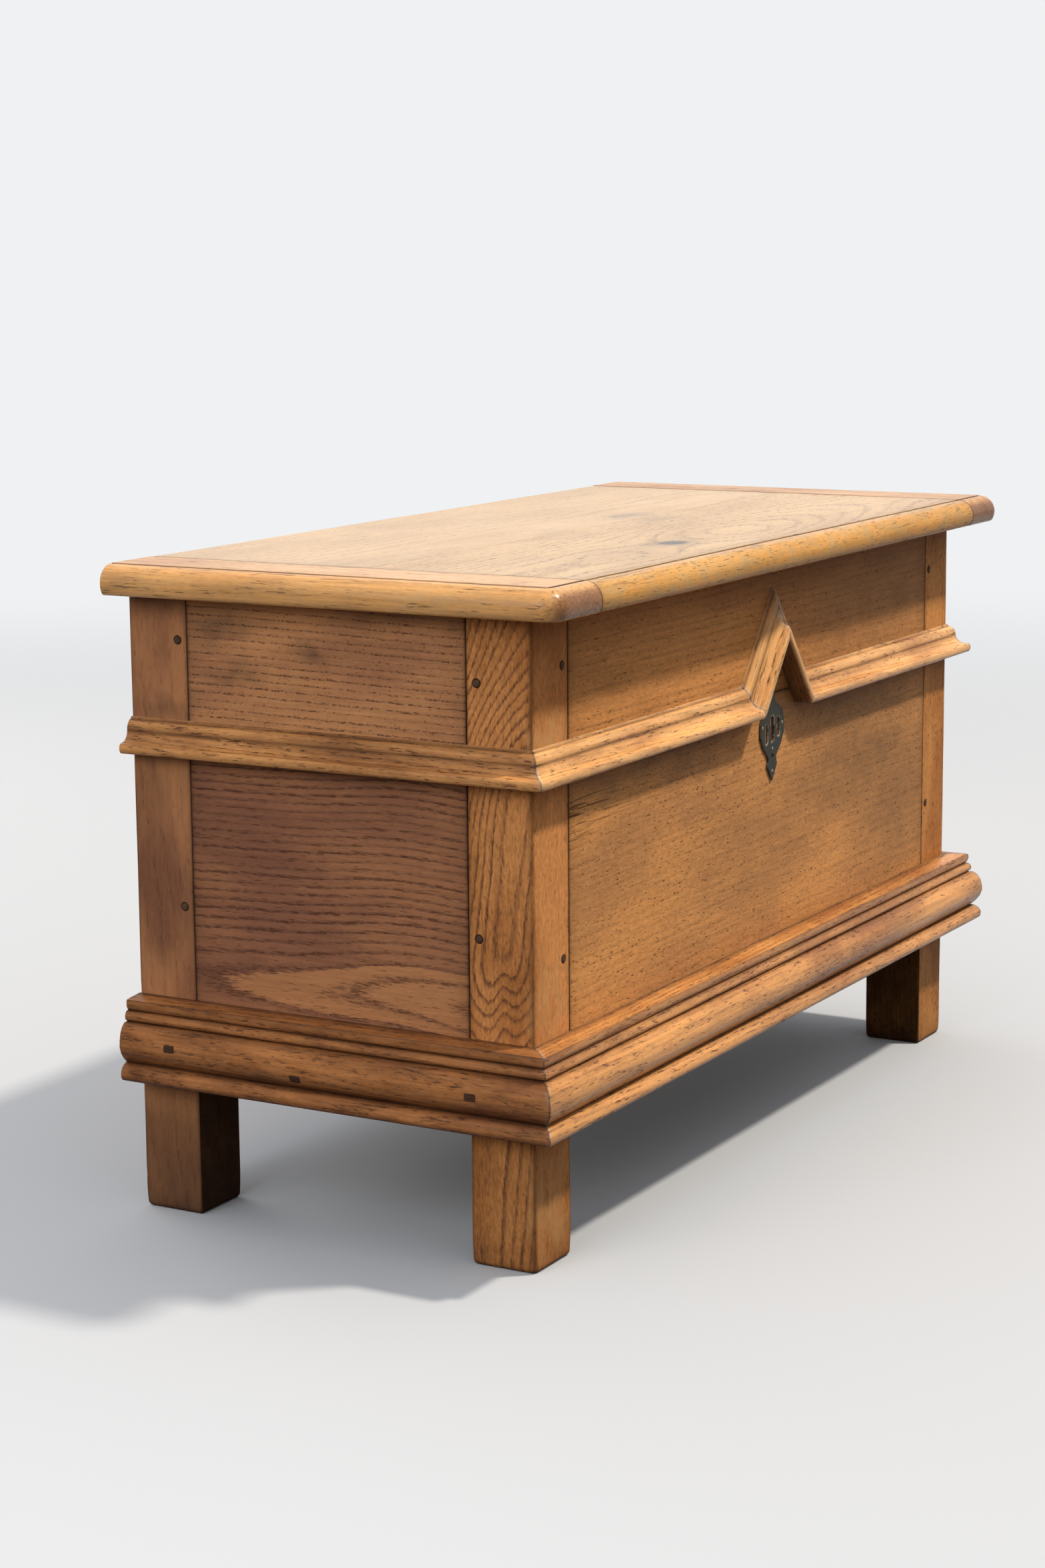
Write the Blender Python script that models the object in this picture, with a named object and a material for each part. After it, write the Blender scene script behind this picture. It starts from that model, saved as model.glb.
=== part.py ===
# Oak storage chest: pegged posts and boards, applied mouldings, a hinged lid and an iron lock.
# Metres, +Z up. X runs along the chest, the front faces -Y and the floor is at Z = 0.

import math

import bmesh
import bpy

# Gap left between pieces that touch, and how near two points of one piece count as one
SEAM = 0.0003
WELD = 0.000001

# Carcass
CARCASS_LENGTH = 0.940
CARCASS_DEPTH = 0.420
CARCASS_HEIGHT = 0.580
POST_WIDTH = 0.064
POST_ARRIS = 0.0025
FOOT_ROUND = 0.004
BOARD_THICKNESS = 0.024
TONGUE_LENGTH = 0.024
TONGUE_THICKNESS = 0.010
BOARD_TUCK = 0.006  # the lower boards end this far above the foot of the base moulding

# Drawbore pegs; each drop is measured from the top edge of the board that the peg holds
PEG_RADIUS = 0.0040
PEG_LENGTH = 0.038
PEG_SETBACK = 0.010
PEG_PROUD = 0.0005
PEG_CHAMFER = 0.0008
UPPER_PEG_DROPS = {"front": 0.048, "back": 0.055, "side_front": 0.060, "side_rear": 0.041}
LOWER_PEG_DROPS = {"front": 0.177, "back": 0.165, "side_front": 0.154, "side_rear": 0.157}

# Base moulding, from its foot up: height of each member, reach of its crest, reach of the quirk above it
FOOT_HEIGHT = 0.129
BASE_START_REACH = 0.0300
BASE_MEMBERS = (
    (0.0165, 0.0340, 0.0266),
    (0.0385, 0.0352, 0.0222),
    (0.0100, 0.0252, 0.0200),
    (0.0100, 0.0226, 0.0208),
)
BASE_TOP_FALL = 0.0020

# Waist moulding; its top edge is WAIST_DROP below the top of the carcass
WAIST_DROP = 0.114
NOSE_HEIGHT = 0.0072
NOSE_REACH = 0.0212
NOSE_EDGE_REACH = 0.0194
COVE_HEIGHT = 0.0123
COVE_REACH = 0.0084
OVOLO_HEIGHT = 0.0105
OVOLO_REACH = 0.0018
FILLET_HEIGHT = 0.0020

# Chevron in the waist moulding, over the lock
LOCK_X = 0.010
CHEVRON_HALF_WIDTH = 0.070
CHEVRON_CLEAR = 0.0244  # its peak stays this far below the top of the carcass

# Bottom
BOTTOM_BOARDS = 5
BOTTOM_THICKNESS = 0.018
LEDGER_WIDTH = 0.024
LEDGER_HEIGHT = 0.024
LEDGER_RAISE = 0.005  # above the lower edge of the boards

# Lid
LID_THICKNESS = 0.028
LID_SIDE_OVERHANG = 0.038
LID_FRONT_OVERHANG = 0.046
LID_REAR_OVERHANG = 0.002
LID_NOSE_RISE = 0.011  # the outermost line of the rounded edge, above the underside
LID_TOP_ROUND = 0.018
LID_LOWER_ROUND = 0.005
LID_QUIRK = 0.0010
LID_TOP_CORNER = 0.003
CLEAT_WIDTH = 0.080
LID_TONGUE_LENGTH = 0.020
LID_TONGUE_THICKNESS = 0.009
LID_TONGUE_END = 0.012  # the tongue stops this far short of the flat top's edges

# Hinges
HINGE_INSET = 0.170  # hinge centre to the end of the carcass
HINGE_WIDTH = 0.070
HINGE_LEAF_DEPTH = 0.021
HINGE_LEAF_THICKNESS = 0.003
KNUCKLE_RADIUS = 0.0045
KNUCKLE_CLEARANCE = 0.0006
KNUCKLE_END = 0.020
HINGE_PIN_RADIUS = 0.0021
HINGE_PIN_PROUD = 0.002
HINGE_PIN_CLEARANCE = 0.0001

# Lock
KEYHOLE_DROP = 0.019  # centre of the keyhole below the waist moulding
KEYHOLE_WIDTH = 0.007
KEYHOLE_HEIGHT = 0.026
CASE_WIDTH = 0.110
CASE_DEPTH = 0.026
CASE_WALL = 0.0025
CASE_TOP_DROP = 0.006
CASE_BELOW_KEYHOLE = 0.030
BOLT_THICKNESS = 0.005
BOLT_ARM_WIDTH = 0.024
BOLT_ARM_OFFSET = 0.018  # from the keyhole's centre line to the arm
BOLT_TIP_OFFSET = 0.0055  # from the centre line to the tip of the nose, drawn back
BOLT_NOSE_HEIGHT = 0.007
BOLT_TALON_DEPTH = 0.006
BOLT_TALON_HEIGHT = 0.010
SHELF_THICKNESS = 0.005
STAPLE_LENGTH = 0.060
STAPLE_WIDTH = 0.024
STAPLE_PLATE = 0.003
STAPLE_DROP = 0.028
LUG_THICKNESS = 0.005
LUG_WIDTH = 0.014
EYE_CLEARANCE = 0.0015
LUG_SLOT_CLEARANCE = 0.0022

# Keyhole plate, measured from the keyhole's centre
PLATE_THICKNESS = 0.002
PLATE_HALF_WIDTH = 0.0280
PLATE_CROWN = 0.0240  # height of the round shoulders
PLATE_NECK_HALF_WIDTH = 0.0040
PLATE_NECK_TOP = 0.0480
PLATE_WAIST_HALF_WIDTH = 0.0100
PLATE_WAIST_DROP = 0.0300
PLATE_TIP_DROP = 0.0520
PIERCING_OFFSET = 0.0130
PIERCING_WIDTH = 0.0050
PIERCING_HEIGHT = 0.0230

# Facets of the round forms
ARC_STEPS = 6
PEG_SIDES = 12
KNUCKLE_SIDES = 24

# Places that follow from the sizes
HALF_LENGTH = CARCASS_LENGTH / 2
HALF_DEPTH = CARCASS_DEPTH / 2
BOARD_HALF_LENGTH = HALF_LENGTH - POST_WIDTH
BOARD_HALF_DEPTH = HALF_DEPTH - POST_WIDTH
WAIST_HEIGHT = NOSE_HEIGHT + COVE_HEIGHT + OVOLO_HEIGHT + FILLET_HEIGHT
WAIST_TOP = CARCASS_HEIGHT - WAIST_DROP
WAIST_BOTTOM = WAIST_TOP - WAIST_HEIGHT
BOARD_BOTTOM = FOOT_HEIGHT + BOARD_TUCK
BOARD_JOINT = (WAIST_TOP + WAIST_BOTTOM) / 2
INNER_FRONT = -HALF_DEPTH + BOARD_THICKNESS
LEDGER_TOP = BOARD_BOTTOM + LEDGER_RAISE + LEDGER_HEIGHT

CHEVRON_RISE = WAIST_DROP - CHEVRON_CLEAR
CHEVRON_SLOPE = math.atan2(CHEVRON_RISE, CHEVRON_HALF_WIDTH)
CHEVRON_FOOT = CHEVRON_HALF_WIDTH - WAIST_HEIGHT * math.tan(CHEVRON_SLOPE / 2)

LID_BOTTOM = CARCASS_HEIGHT + SEAM
LID_TOP = LID_BOTTOM + LID_THICKNESS
LID_HALF_LENGTH = HALF_LENGTH + LID_SIDE_OVERHANG
LID_FRONT = -HALF_DEPTH - LID_FRONT_OVERHANG
LID_REAR = HALF_DEPTH + LID_REAR_OVERHANG
LID_SPLIT = (LID_FRONT + LID_REAR) / 2
CLEAT_LINE = LID_HALF_LENGTH - CLEAT_WIDTH

HINGE_X = HALF_LENGTH - HINGE_INSET
HINGE_Y = LID_REAR + KNUCKLE_RADIUS + KNUCKLE_CLEARANCE
HINGE_Z = CARCASS_HEIGHT + SEAM / 2

KEYHOLE_Z = WAIST_BOTTOM - KEYHOLE_DROP
CASE_TOP = CARCASS_HEIGHT - CASE_TOP_DROP
CASE_BOTTOM = KEYHOLE_Z - CASE_BELOW_KEYHOLE
CASE_FRONT = INNER_FRONT + SEAM
CASE_BACK = CASE_FRONT + CASE_DEPTH
BOLT_Y = (CASE_FRONT + CASE_BACK) / 2
STAPLE_TOP = LID_BOTTOM - SEAM
STAPLE_BOTTOM = STAPLE_TOP - STAPLE_DROP
EYE_HEIGHT = BOLT_NOSE_HEIGHT + 2 * EYE_CLEARANCE
EYE_Z = STAPLE_BOTTOM + LUG_THICKNESS + EYE_HEIGHT / 2
BOLT_TOP = EYE_Z + BOLT_NOSE_HEIGHT / 2
BOLT_BOTTOM = CASE_BOTTOM + CASE_WALL + SHELF_THICKNESS + SEAM

# The whole object's box is centred on the origin, so the carcass sits a little behind it
CARCASS_Y = -(LID_FRONT + HINGE_Y + KNUCKLE_RADIUS) / 2

# Finishes: colour, roughness, metallic
FINISHES = {
    "oak_post": ((0.30, 0.14, 0.05), 0.45, 0.0),
    "oak_board": ((0.33, 0.16, 0.06), 0.45, 0.0),
    "oak_moulding": ((0.38, 0.19, 0.07), 0.40, 0.0),
    "oak_lid": ((0.42, 0.22, 0.09), 0.38, 0.0),
    "oak_cleat": ((0.36, 0.17, 0.07), 0.38, 0.0),
    "oak_peg": ((0.12, 0.06, 0.03), 0.55, 0.0),
    "oak_bare": ((0.34, 0.21, 0.11), 0.70, 0.0),
    "iron_dark": ((0.035, 0.038, 0.038), 0.55, 0.9),
}


# Shape helpers

def ellipse_arc(centre, radii, start, end, steps=ARC_STEPS):
    angles = [math.radians(start + (end - start) * i / steps) for i in range(steps + 1)]
    return [(centre[0] + radii[0] * math.cos(a), centre[1] + radii[1] * math.sin(a)) for a in angles]


def circle(centre, radius, sides):
    return ellipse_arc(centre, (radius, radius), 0, 360, sides)[:-1]


def slot_outline(centre, width, height):
    half = width / 2
    lift = height / 2 - half
    top = ellipse_arc((centre[0], centre[1] + lift), (half, half), 0, 180)
    foot = ellipse_arc((centre[0], centre[1] - lift), (half, half), 180, 360)
    return top + foot


def loft(rings):
    shape = bmesh.new()
    loops = [[shape.verts.new(point) for point in ring] for ring in rings]
    count = len(rings[0])
    for lower, upper in zip(loops, loops[1:]):
        for i in range(count):
            j = (i + 1) % count
            shape.faces.new((lower[i], lower[j], upper[j], upper[i]))
    shape.faces.new(list(reversed(loops[0])))
    shape.faces.new(loops[-1])
    bmesh.ops.recalc_face_normals(shape, faces=shape.faces)
    return shape


def point_on(axis, outline_point, place):
    u, v = outline_point
    return {"X": (place, u, v), "Y": (u, place, v), "Z": (u, v, place)}[axis]


def prism(axis, outline, low, high):
    return loft([[point_on(axis, p, place) for p in outline] for place in (low, high)])


def box(low, high):
    outline = [(low[0], low[1]), (high[0], low[1]), (high[0], high[1]), (low[0], high[1])]
    return prism("Z", outline, low[2], high[2])


def rod(axis, centre, radius, low, high, sides):
    return prism(axis, circle(centre, radius, sides), low, high)


# Objects

def make_finish(name):
    colour, roughness, metallic = FINISHES[name]
    finish = bpy.data.materials.new(name)
    finish.use_nodes = True
    shader = finish.node_tree.nodes["Principled BSDF"]
    shader.inputs["Base Color"].default_value = (*colour, 1.0)
    shader.inputs["Roughness"].default_value = roughness
    shader.inputs["Metallic"].default_value = metallic
    return finish


def make_empty(name, place, parent=None):
    empty = bpy.data.objects.new(name, None)
    empty.location = place
    empty.parent = parent
    bpy.context.scene.collection.objects.link(empty)
    return empty


def make_object(name, shape):
    mesh = bpy.data.meshes.new(name)
    shape.to_mesh(mesh)
    shape.free()
    obj = bpy.data.objects.new(name, mesh)
    bpy.context.scene.collection.objects.link(obj)
    return obj


def carve(target, shape, operation="DIFFERENCE", solver="EXACT"):
    tool = make_object("tool", shape)
    modifier = target.modifiers.new("carve", "BOOLEAN")
    modifier.operation = operation
    modifier.solver = solver
    modifier.object = tool
    graph = bpy.context.evaluated_depsgraph_get()
    carved = bpy.data.meshes.new_from_object(target.evaluated_get(graph))
    target.modifiers.clear()
    target.data = carved
    bpy.data.objects.remove(tool)


# Holes through boards and posts; at some sizes the exact solver leaves their rims open
def drill(target, shape):
    carve(target, shape, solver="MANIFOLD")


# Faces left by the cuts are split into even triangles, with no slivers
def tidy_faces(mesh):
    shape = bmesh.new()
    shape.from_mesh(mesh)
    bmesh.ops.remove_doubles(shape, verts=shape.verts, dist=WELD)
    bmesh.ops.dissolve_degenerate(shape, edges=shape.edges, dist=WELD)
    bmesh.ops.triangulate(shape, faces=shape.faces, quad_method="BEAUTY", ngon_method="BEAUTY")
    shape.to_mesh(mesh)
    shape.free()


def finish_object(obj, finish, body):
    tidy_faces(obj.data)
    obj.data.materials.clear()
    obj.data.materials.append(finishes[finish])
    obj.data.shade_smooth()
    obj.data.set_sharp_from_angle(angle=math.radians(30))
    obj.parent = body
    if body is not carcass_body:
        obj.location = -body.location


# Carcass pieces; side is -1 for left and +1 for right, face is -1 for front and +1 for rear

def side_word(side):
    return "left" if side < 0 else "right"


def face_word(face):
    return "front" if face < 0 else "rear"


def pegs_of_post(side, face):
    along = BOARD_HALF_LENGTH + PEG_SETBACK
    across = BOARD_HALF_DEPTH + PEG_SETBACK
    wall = "front" if face < 0 else "back"
    edge = "side_" + face_word(face)
    pegs = []
    for level, top, drops in (
        ("upper", CARCASS_HEIGHT, UPPER_PEG_DROPS),
        ("lower", BOARD_JOINT, LOWER_PEG_DROPS),
    ):
        pegs.append((f"{wall}_{side_word(side)}_{level}", "Y", (side * along, top - drops[wall]), face))
        pegs.append((f"{edge}_{side_word(side)}_{level}", "X", (face * across, top - drops[edge]), side))
    return pegs


def peg_drill(peg, clearance):
    _, axis, centre, sign = peg
    outer = HALF_DEPTH if axis == "Y" else HALF_LENGTH
    inner = outer - PEG_LENGTH - clearance
    outer = outer + PEG_PROUD + clearance
    return rod(axis, centre, PEG_RADIUS + clearance, sign * inner, sign * outer, PEG_SIDES)


def make_peg(peg):
    name, axis, centre, sign = peg
    face = HALF_DEPTH if axis == "Y" else HALF_LENGTH
    steps = (
        (face - PEG_LENGTH, PEG_RADIUS),
        (face + PEG_PROUD - PEG_CHAMFER, PEG_RADIUS),
        (face + PEG_PROUD, PEG_RADIUS - PEG_CHAMFER),
    )
    rings = [
        [point_on(axis, p, sign * place) for p in circle(centre, radius, PEG_SIDES)]
        for place, radius in steps
    ]
    finish_object(make_object("peg_" + name, loft(rings)), "oak_peg", carcass_body)


def make_post(side, face):
    def ring(inset, height):
        half = POST_WIDTH / 2 - inset
        outline = []
        for turn, sx, sy in ((0, 1, 1), (90, -1, 1), (180, -1, -1), (270, 1, -1)):
            if (sx, sy) == (side, face):
                centre = (sx * (half - POST_ARRIS), sy * (half - POST_ARRIS))
                outline += ellipse_arc(centre, (POST_ARRIS, POST_ARRIS), turn, turn + 90)
            else:
                outline.append((sx * half, sy * half))
        x0 = side * (HALF_LENGTH - POST_WIDTH / 2)
        y0 = face * (HALF_DEPTH - POST_WIDTH / 2)
        return [(x0 + x, y0 + y, height) for x, y in outline]

    rounding = ellipse_arc((FOOT_ROUND, FOOT_ROUND), (FOOT_ROUND, FOOT_ROUND), 270, 180, 3)
    rings = [ring(inset, height) for inset, height in rounding]
    rings.append(ring(0, CARCASS_HEIGHT))
    post = make_object(f"post_{face_word(face)}_{side_word(side)}", loft(rings))

    groove = TONGUE_THICKNESS / 2 + SEAM
    depth = TONGUE_LENGTH + SEAM
    wall_y = face * (HALF_DEPTH - BOARD_THICKNESS / 2)
    wall_x = side * (HALF_LENGTH - BOARD_THICKNESS / 2)
    foot = BOARD_BOTTOM - SEAM
    top = CARCASS_HEIGHT + depth
    x_ends = sorted((side * (BOARD_HALF_LENGTH - depth), side * (BOARD_HALF_LENGTH + depth)))
    y_ends = sorted((face * (BOARD_HALF_DEPTH - depth), face * (BOARD_HALF_DEPTH + depth)))
    carve(post, box((x_ends[0], wall_y - groove, foot), (x_ends[1], wall_y + groove, top)))
    carve(post, box((wall_x - groove, y_ends[0], foot), (wall_x + groove, y_ends[1], top)))
    for peg in pegs_of_post(side, face):
        drill(post, peg_drill(peg, SEAM))
    finish_object(post, "oak_post", carcass_body)


# Plan of a wall board: full thickness between the posts, with a centred tongue at each end
def board_outline(half_span, outer_face, sign, along_x):
    inner_face = outer_face - BOARD_THICKNESS
    middle = (outer_face + inner_face) / 2
    shoulder = half_span - SEAM
    tip = half_span + TONGUE_LENGTH
    half_tongue = TONGUE_THICKNESS / 2
    near = [(shoulder, inner_face), (shoulder, middle - half_tongue), (tip, middle - half_tongue)]
    far = [(tip, middle + half_tongue), (shoulder, middle + half_tongue), (shoulder, outer_face)]
    half = near + far
    outline = half + [(-along, out) for along, out in reversed(half)]
    if along_x:
        return [(along, sign * out) for along, out in outline]
    return [(sign * out, along) for along, out in outline]


def make_wall(name, axis, sign, pegs, cuts):
    along_x = axis == "Y"
    half_span = BOARD_HALF_LENGTH if along_x else BOARD_HALF_DEPTH
    outer = HALF_DEPTH if along_x else HALF_LENGTH
    outline = board_outline(half_span, outer, sign, along_x)
    levels = {
        "lower": (BOARD_BOTTOM, BOARD_JOINT - SEAM / 2),
        "upper": (BOARD_JOINT + SEAM / 2, CARCASS_HEIGHT),
    }
    for level, (low, high) in levels.items():
        board = make_object(f"{name}_board_{level}", prism("Z", outline, low, high))
        for peg in pegs:
            if peg[0].endswith(level):
                drill(board, peg_drill(peg, SEAM))
        for cut in cuts.get(level, []):
            drill(board, cut)
        finish_object(board, "oak_board", carcass_body)


def make_walls_and_pegs():
    pegs = []
    for side in (-1, 1):
        for face in (-1, 1):
            make_post(side, face)
            pegs += pegs_of_post(side, face)
    keyhole = slot_outline((LOCK_X, KEYHOLE_Z), KEYHOLE_WIDTH, KEYHOLE_HEIGHT)
    keyhole_cut = prism("Y", keyhole, -HALF_DEPTH - BOARD_THICKNESS, INNER_FRONT + BOARD_THICKNESS)
    front_pegs = [peg for peg in pegs if peg[0].startswith("front")]
    back_pegs = [peg for peg in pegs if peg[0].startswith("back")]
    make_wall("front", "Y", -1, front_pegs, {"lower": [keyhole_cut]})
    make_wall("back", "Y", 1, back_pegs, {"upper": [leaf_seat(side, -1) for side in (-1, 1)]})
    for side in (-1, 1):
        side_pegs = [peg for peg in pegs if peg[1] == "X" and peg[3] == side]
        make_wall(side_word(side), "X", side, side_pegs, {})
    for peg in pegs:
        make_peg(peg)


def make_bottom():
    inner = HALF_DEPTH - BOARD_THICKNESS - SEAM
    for face in (-1, 1):
        edges = sorted((face * inner, face * (inner - LEDGER_WIDTH)))
        half = BOARD_HALF_LENGTH - SEAM
        low = (-half, edges[0], LEDGER_TOP - LEDGER_HEIGHT)
        high = (half, edges[1], LEDGER_TOP)
        ledger = make_object(f"ledger_{face_word(face)}", box(low, high))
        finish_object(ledger, "oak_bare", carcass_body)

    half_room = HALF_LENGTH - BOARD_THICKNESS - SEAM
    width = 2 * half_room / BOTTOM_BOARDS
    floor = LEDGER_TOP + SEAM
    for i in range(BOTTOM_BOARDS):
        left = -half_room + i * width
        low = (left + SEAM / 2, -inner, floor)
        high = (left + width - SEAM / 2, inner, floor + BOTTOM_THICKNESS)
        board = make_object(f"bottom_board_{i + 1}", box(low, high))
        for side in (-1, 1):
            if side * (left + width / 2) + width / 2 > BOARD_HALF_LENGTH:
                for face in (-1, 1):
                    carve(board, post_corner(side, face, floor))
        finish_object(board, "oak_bare", carcass_body)


def post_corner(side, face, height):
    x_ends = sorted((side * (BOARD_HALF_LENGTH - SEAM), side * HALF_LENGTH))
    y_ends = sorted((face * (BOARD_HALF_DEPTH - SEAM), face * HALF_DEPTH))
    low = (x_ends[0], y_ends[0], height - BOTTOM_THICKNESS)
    return box(low, (x_ends[1], y_ends[1], height + 2 * BOTTOM_THICKNESS))


# Mouldings: a profile of (reach, height) points carried along a straight run

def base_profile():
    points = [(SEAM, 0.0)]
    height = 0.0
    reach = BASE_START_REACH
    for rise, crest, quirk in BASE_MEMBERS:
        bulge = crest - (reach + quirk) / 2
        for i in range(ARC_STEPS):
            turn = math.pi * i / ARC_STEPS
            share = (1 - math.cos(turn)) / 2
            straight = reach + (quirk - reach) * share
            points.append((straight + bulge * math.sin(turn), height + rise * share))
        height += rise
        reach = quirk
    points.append((reach, height))
    points.append((SEAM, height + BASE_TOP_FALL))
    return points


def waist_profile():
    cove_foot = NOSE_HEIGHT
    ovolo_foot = cove_foot + COVE_HEIGHT
    ovolo_top = ovolo_foot + OVOLO_HEIGHT
    half_nose = NOSE_HEIGHT / 2
    nose_radii = (NOSE_REACH - NOSE_EDGE_REACH, half_nose)
    cove_radii = (NOSE_EDGE_REACH - COVE_REACH, COVE_HEIGHT)
    points = [(SEAM, 0.0)]
    points += ellipse_arc((NOSE_EDGE_REACH, half_nose), nose_radii, -90, 90)
    points += ellipse_arc((NOSE_EDGE_REACH, ovolo_foot), cove_radii, 270, 180)[1:]
    points += ellipse_arc((OVOLO_REACH, ovolo_foot), (COVE_REACH - OVOLO_REACH, OVOLO_HEIGHT), 0, 90)[1:]
    points.append((SEAM, ovolo_top + FILLET_HEIGHT))
    return points


# A run starts at origin and goes along a direction; each end slants with the reach and the height
def make_run(name, profile, origin, along, up, out, length, start=(0.0, 0.0), end=(0.0, 0.0)):
    rings = []
    for base, slant, trim in ((0.0, start, SEAM), (length, end, -SEAM)):
        ring = []
        for reach, height in profile:
            travel = base + trim + slant[0] * reach + slant[1] * height
            ring.append([
                origin[k] + along[k] * travel + up[k] * height + out[k] * reach for k in range(3)
            ])
        rings.append(ring)
    finish_object(make_object(name, loft(rings)), "oak_moulding", carcass_body)


def make_base_moulding():
    profile = base_profile()
    up = (0, 0, 1)
    origin = (-HALF_LENGTH, -HALF_DEPTH, FOOT_HEIGHT)
    out = (0, -1, 0)
    name = "base_moulding_front"
    make_run(name, profile, origin, (1, 0, 0), up, out, CARCASS_LENGTH, (-1, 0), (1, 0))
    for side in (-1, 1):
        origin = (side * HALF_LENGTH, HALF_DEPTH, FOOT_HEIGHT)
        name = f"base_moulding_{side_word(side)}"
        make_run(name, profile, origin, (0, -1, 0), up, (side, 0, 0), CARCASS_DEPTH, (0, 0), (1, 0))


def make_waist_moulding():
    profile = waist_profile()
    up = (0, 0, 1)
    out = (0, -1, 0)
    half_turn = math.tan(CHEVRON_SLOPE / 2)
    cos_slope, sin_slope = math.cos(CHEVRON_SLOPE), math.sin(CHEVRON_SLOPE)
    arm = CHEVRON_FOOT / cos_slope
    for side in (-1, 1):
        word = side_word(side)
        origin = (side * HALF_LENGTH, HALF_DEPTH, WAIST_BOTTOM)
        name = f"waist_moulding_{word}"
        make_run(name, profile, origin, (0, -1, 0), up, (side, 0, 0), CARCASS_DEPTH, (0, 0), (1, 0))

        foot = (LOCK_X + side * CHEVRON_FOOT, -HALF_DEPTH, WAIST_BOTTOM)
        origin = (side * HALF_LENGTH, -HALF_DEPTH, WAIST_BOTTOM)
        length = abs(foot[0] - origin[0])
        name = f"waist_moulding_front_{word}"
        make_run(name, profile, origin, (-side, 0, 0), up, out, length, (-1, 0), (0, -half_turn))

        along = (-side * cos_slope, 0, sin_slope)
        arm_up = (side * sin_slope, 0, cos_slope)
        ends = ((0, half_turn), (0, math.tan(CHEVRON_SLOPE)))
        make_run(f"chevron_{word}", profile, foot, along, arm_up, out, arm, *ends)


# Lid: one blank with its edge rounded on the front and sides, divided into boards and cleats

def lid_blank():
    crest = LID_THICKNESS - LID_QUIRK
    lower = ellipse_arc((LID_LOWER_ROUND, LID_NOSE_RISE), (LID_LOWER_ROUND, LID_NOSE_RISE), 270, 180, 4)
    upper = ellipse_arc((LID_TOP_ROUND, LID_NOSE_RISE), (LID_TOP_ROUND, crest - LID_NOSE_RISE), 180, 90)
    rings = []
    for inset, height in lower + upper[1:] + [(LID_TOP_ROUND, LID_THICKNESS)]:
        radius = LID_TOP_CORNER + LID_TOP_ROUND - inset
        x = LID_HALF_LENGTH - inset - radius
        y = LID_FRONT + inset + radius
        ring = [(-x - radius, LID_REAR)]
        ring += ellipse_arc((-x, y), (radius, radius), 180, 270)
        ring += ellipse_arc((x, y), (radius, radius), 270, 360)
        ring.append((x + radius, LID_REAR))
        rings.append([(px, py, LID_BOTTOM + height) for px, py in ring])
    return loft(rings)


def lid_tongue(face, clearance):
    half = CLEAT_LINE + LID_TONGUE_LENGTH + clearance
    middle = LID_BOTTOM + LID_THICKNESS / 2
    lift = LID_TONGUE_THICKNESS / 2 + clearance
    if face < 0:
        y_ends = (LID_FRONT + LID_TOP_ROUND + LID_TONGUE_END - clearance, LID_SPLIT - SEAM / 2 + clearance)
    else:
        y_ends = (LID_SPLIT + SEAM / 2 - clearance, LID_REAR - LID_TONGUE_END + clearance)
    return box((-half, y_ends[0], middle - lift), (half, y_ends[1], middle + lift))


# Recess for a hinge leaf: above the joint in the lid, or below it in the back board
def leaf_seat(side, above):
    half = HINGE_WIDTH / 2 + SEAM
    depth = SEAM / 2 + HINGE_LEAF_THICKNESS + SEAM
    z_ends = sorted((HINGE_Z - above * depth, HINGE_Z + above * depth))
    y_front = HALF_DEPTH - HINGE_LEAF_DEPTH - SEAM
    x = side * HINGE_X
    return box((x - half, y_front, z_ends[0]), (x + half, HINGE_Y + KNUCKLE_RADIUS, z_ends[1]))


def make_lid():
    reach = LID_HALF_LENGTH + LID_THICKNESS
    low_z, high_z = LID_BOTTOM - LID_THICKNESS, LID_TOP + LID_THICKNESS
    spans = {
        -1: (LID_FRONT - LID_THICKNESS, LID_SPLIT - SEAM / 2),
        1: (LID_SPLIT + SEAM / 2, LID_REAR + LID_THICKNESS),
    }
    for face, (near, far) in spans.items():
        board = make_object(f"lid_board_{face_word(face)}", lid_blank())
        half = CLEAT_LINE - SEAM
        carve(board, box((-half, near, low_z), (half, far, high_z)), "INTERSECT")
        carve(board, lid_tongue(face, 0.0), "UNION")
        if face > 0:
            for side in (-1, 1):
                carve(board, leaf_seat(side, 1))
        finish_object(board, "oak_lid", lid_body)
    for side in (-1, 1):
        cleat = make_object(f"lid_cleat_{side_word(side)}", lid_blank())
        ends = sorted((side * CLEAT_LINE, side * reach))
        carve(cleat, box((ends[0], -reach, low_z), (ends[1], reach, high_z)), "INTERSECT")
        for face in (-1, 1):
            carve(cleat, lid_tongue(face, SEAM))
        finish_object(cleat, "oak_cleat", lid_body)


# Hinges: the carcass leaf has the two end knuckles and the lid leaf the middle one

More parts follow.
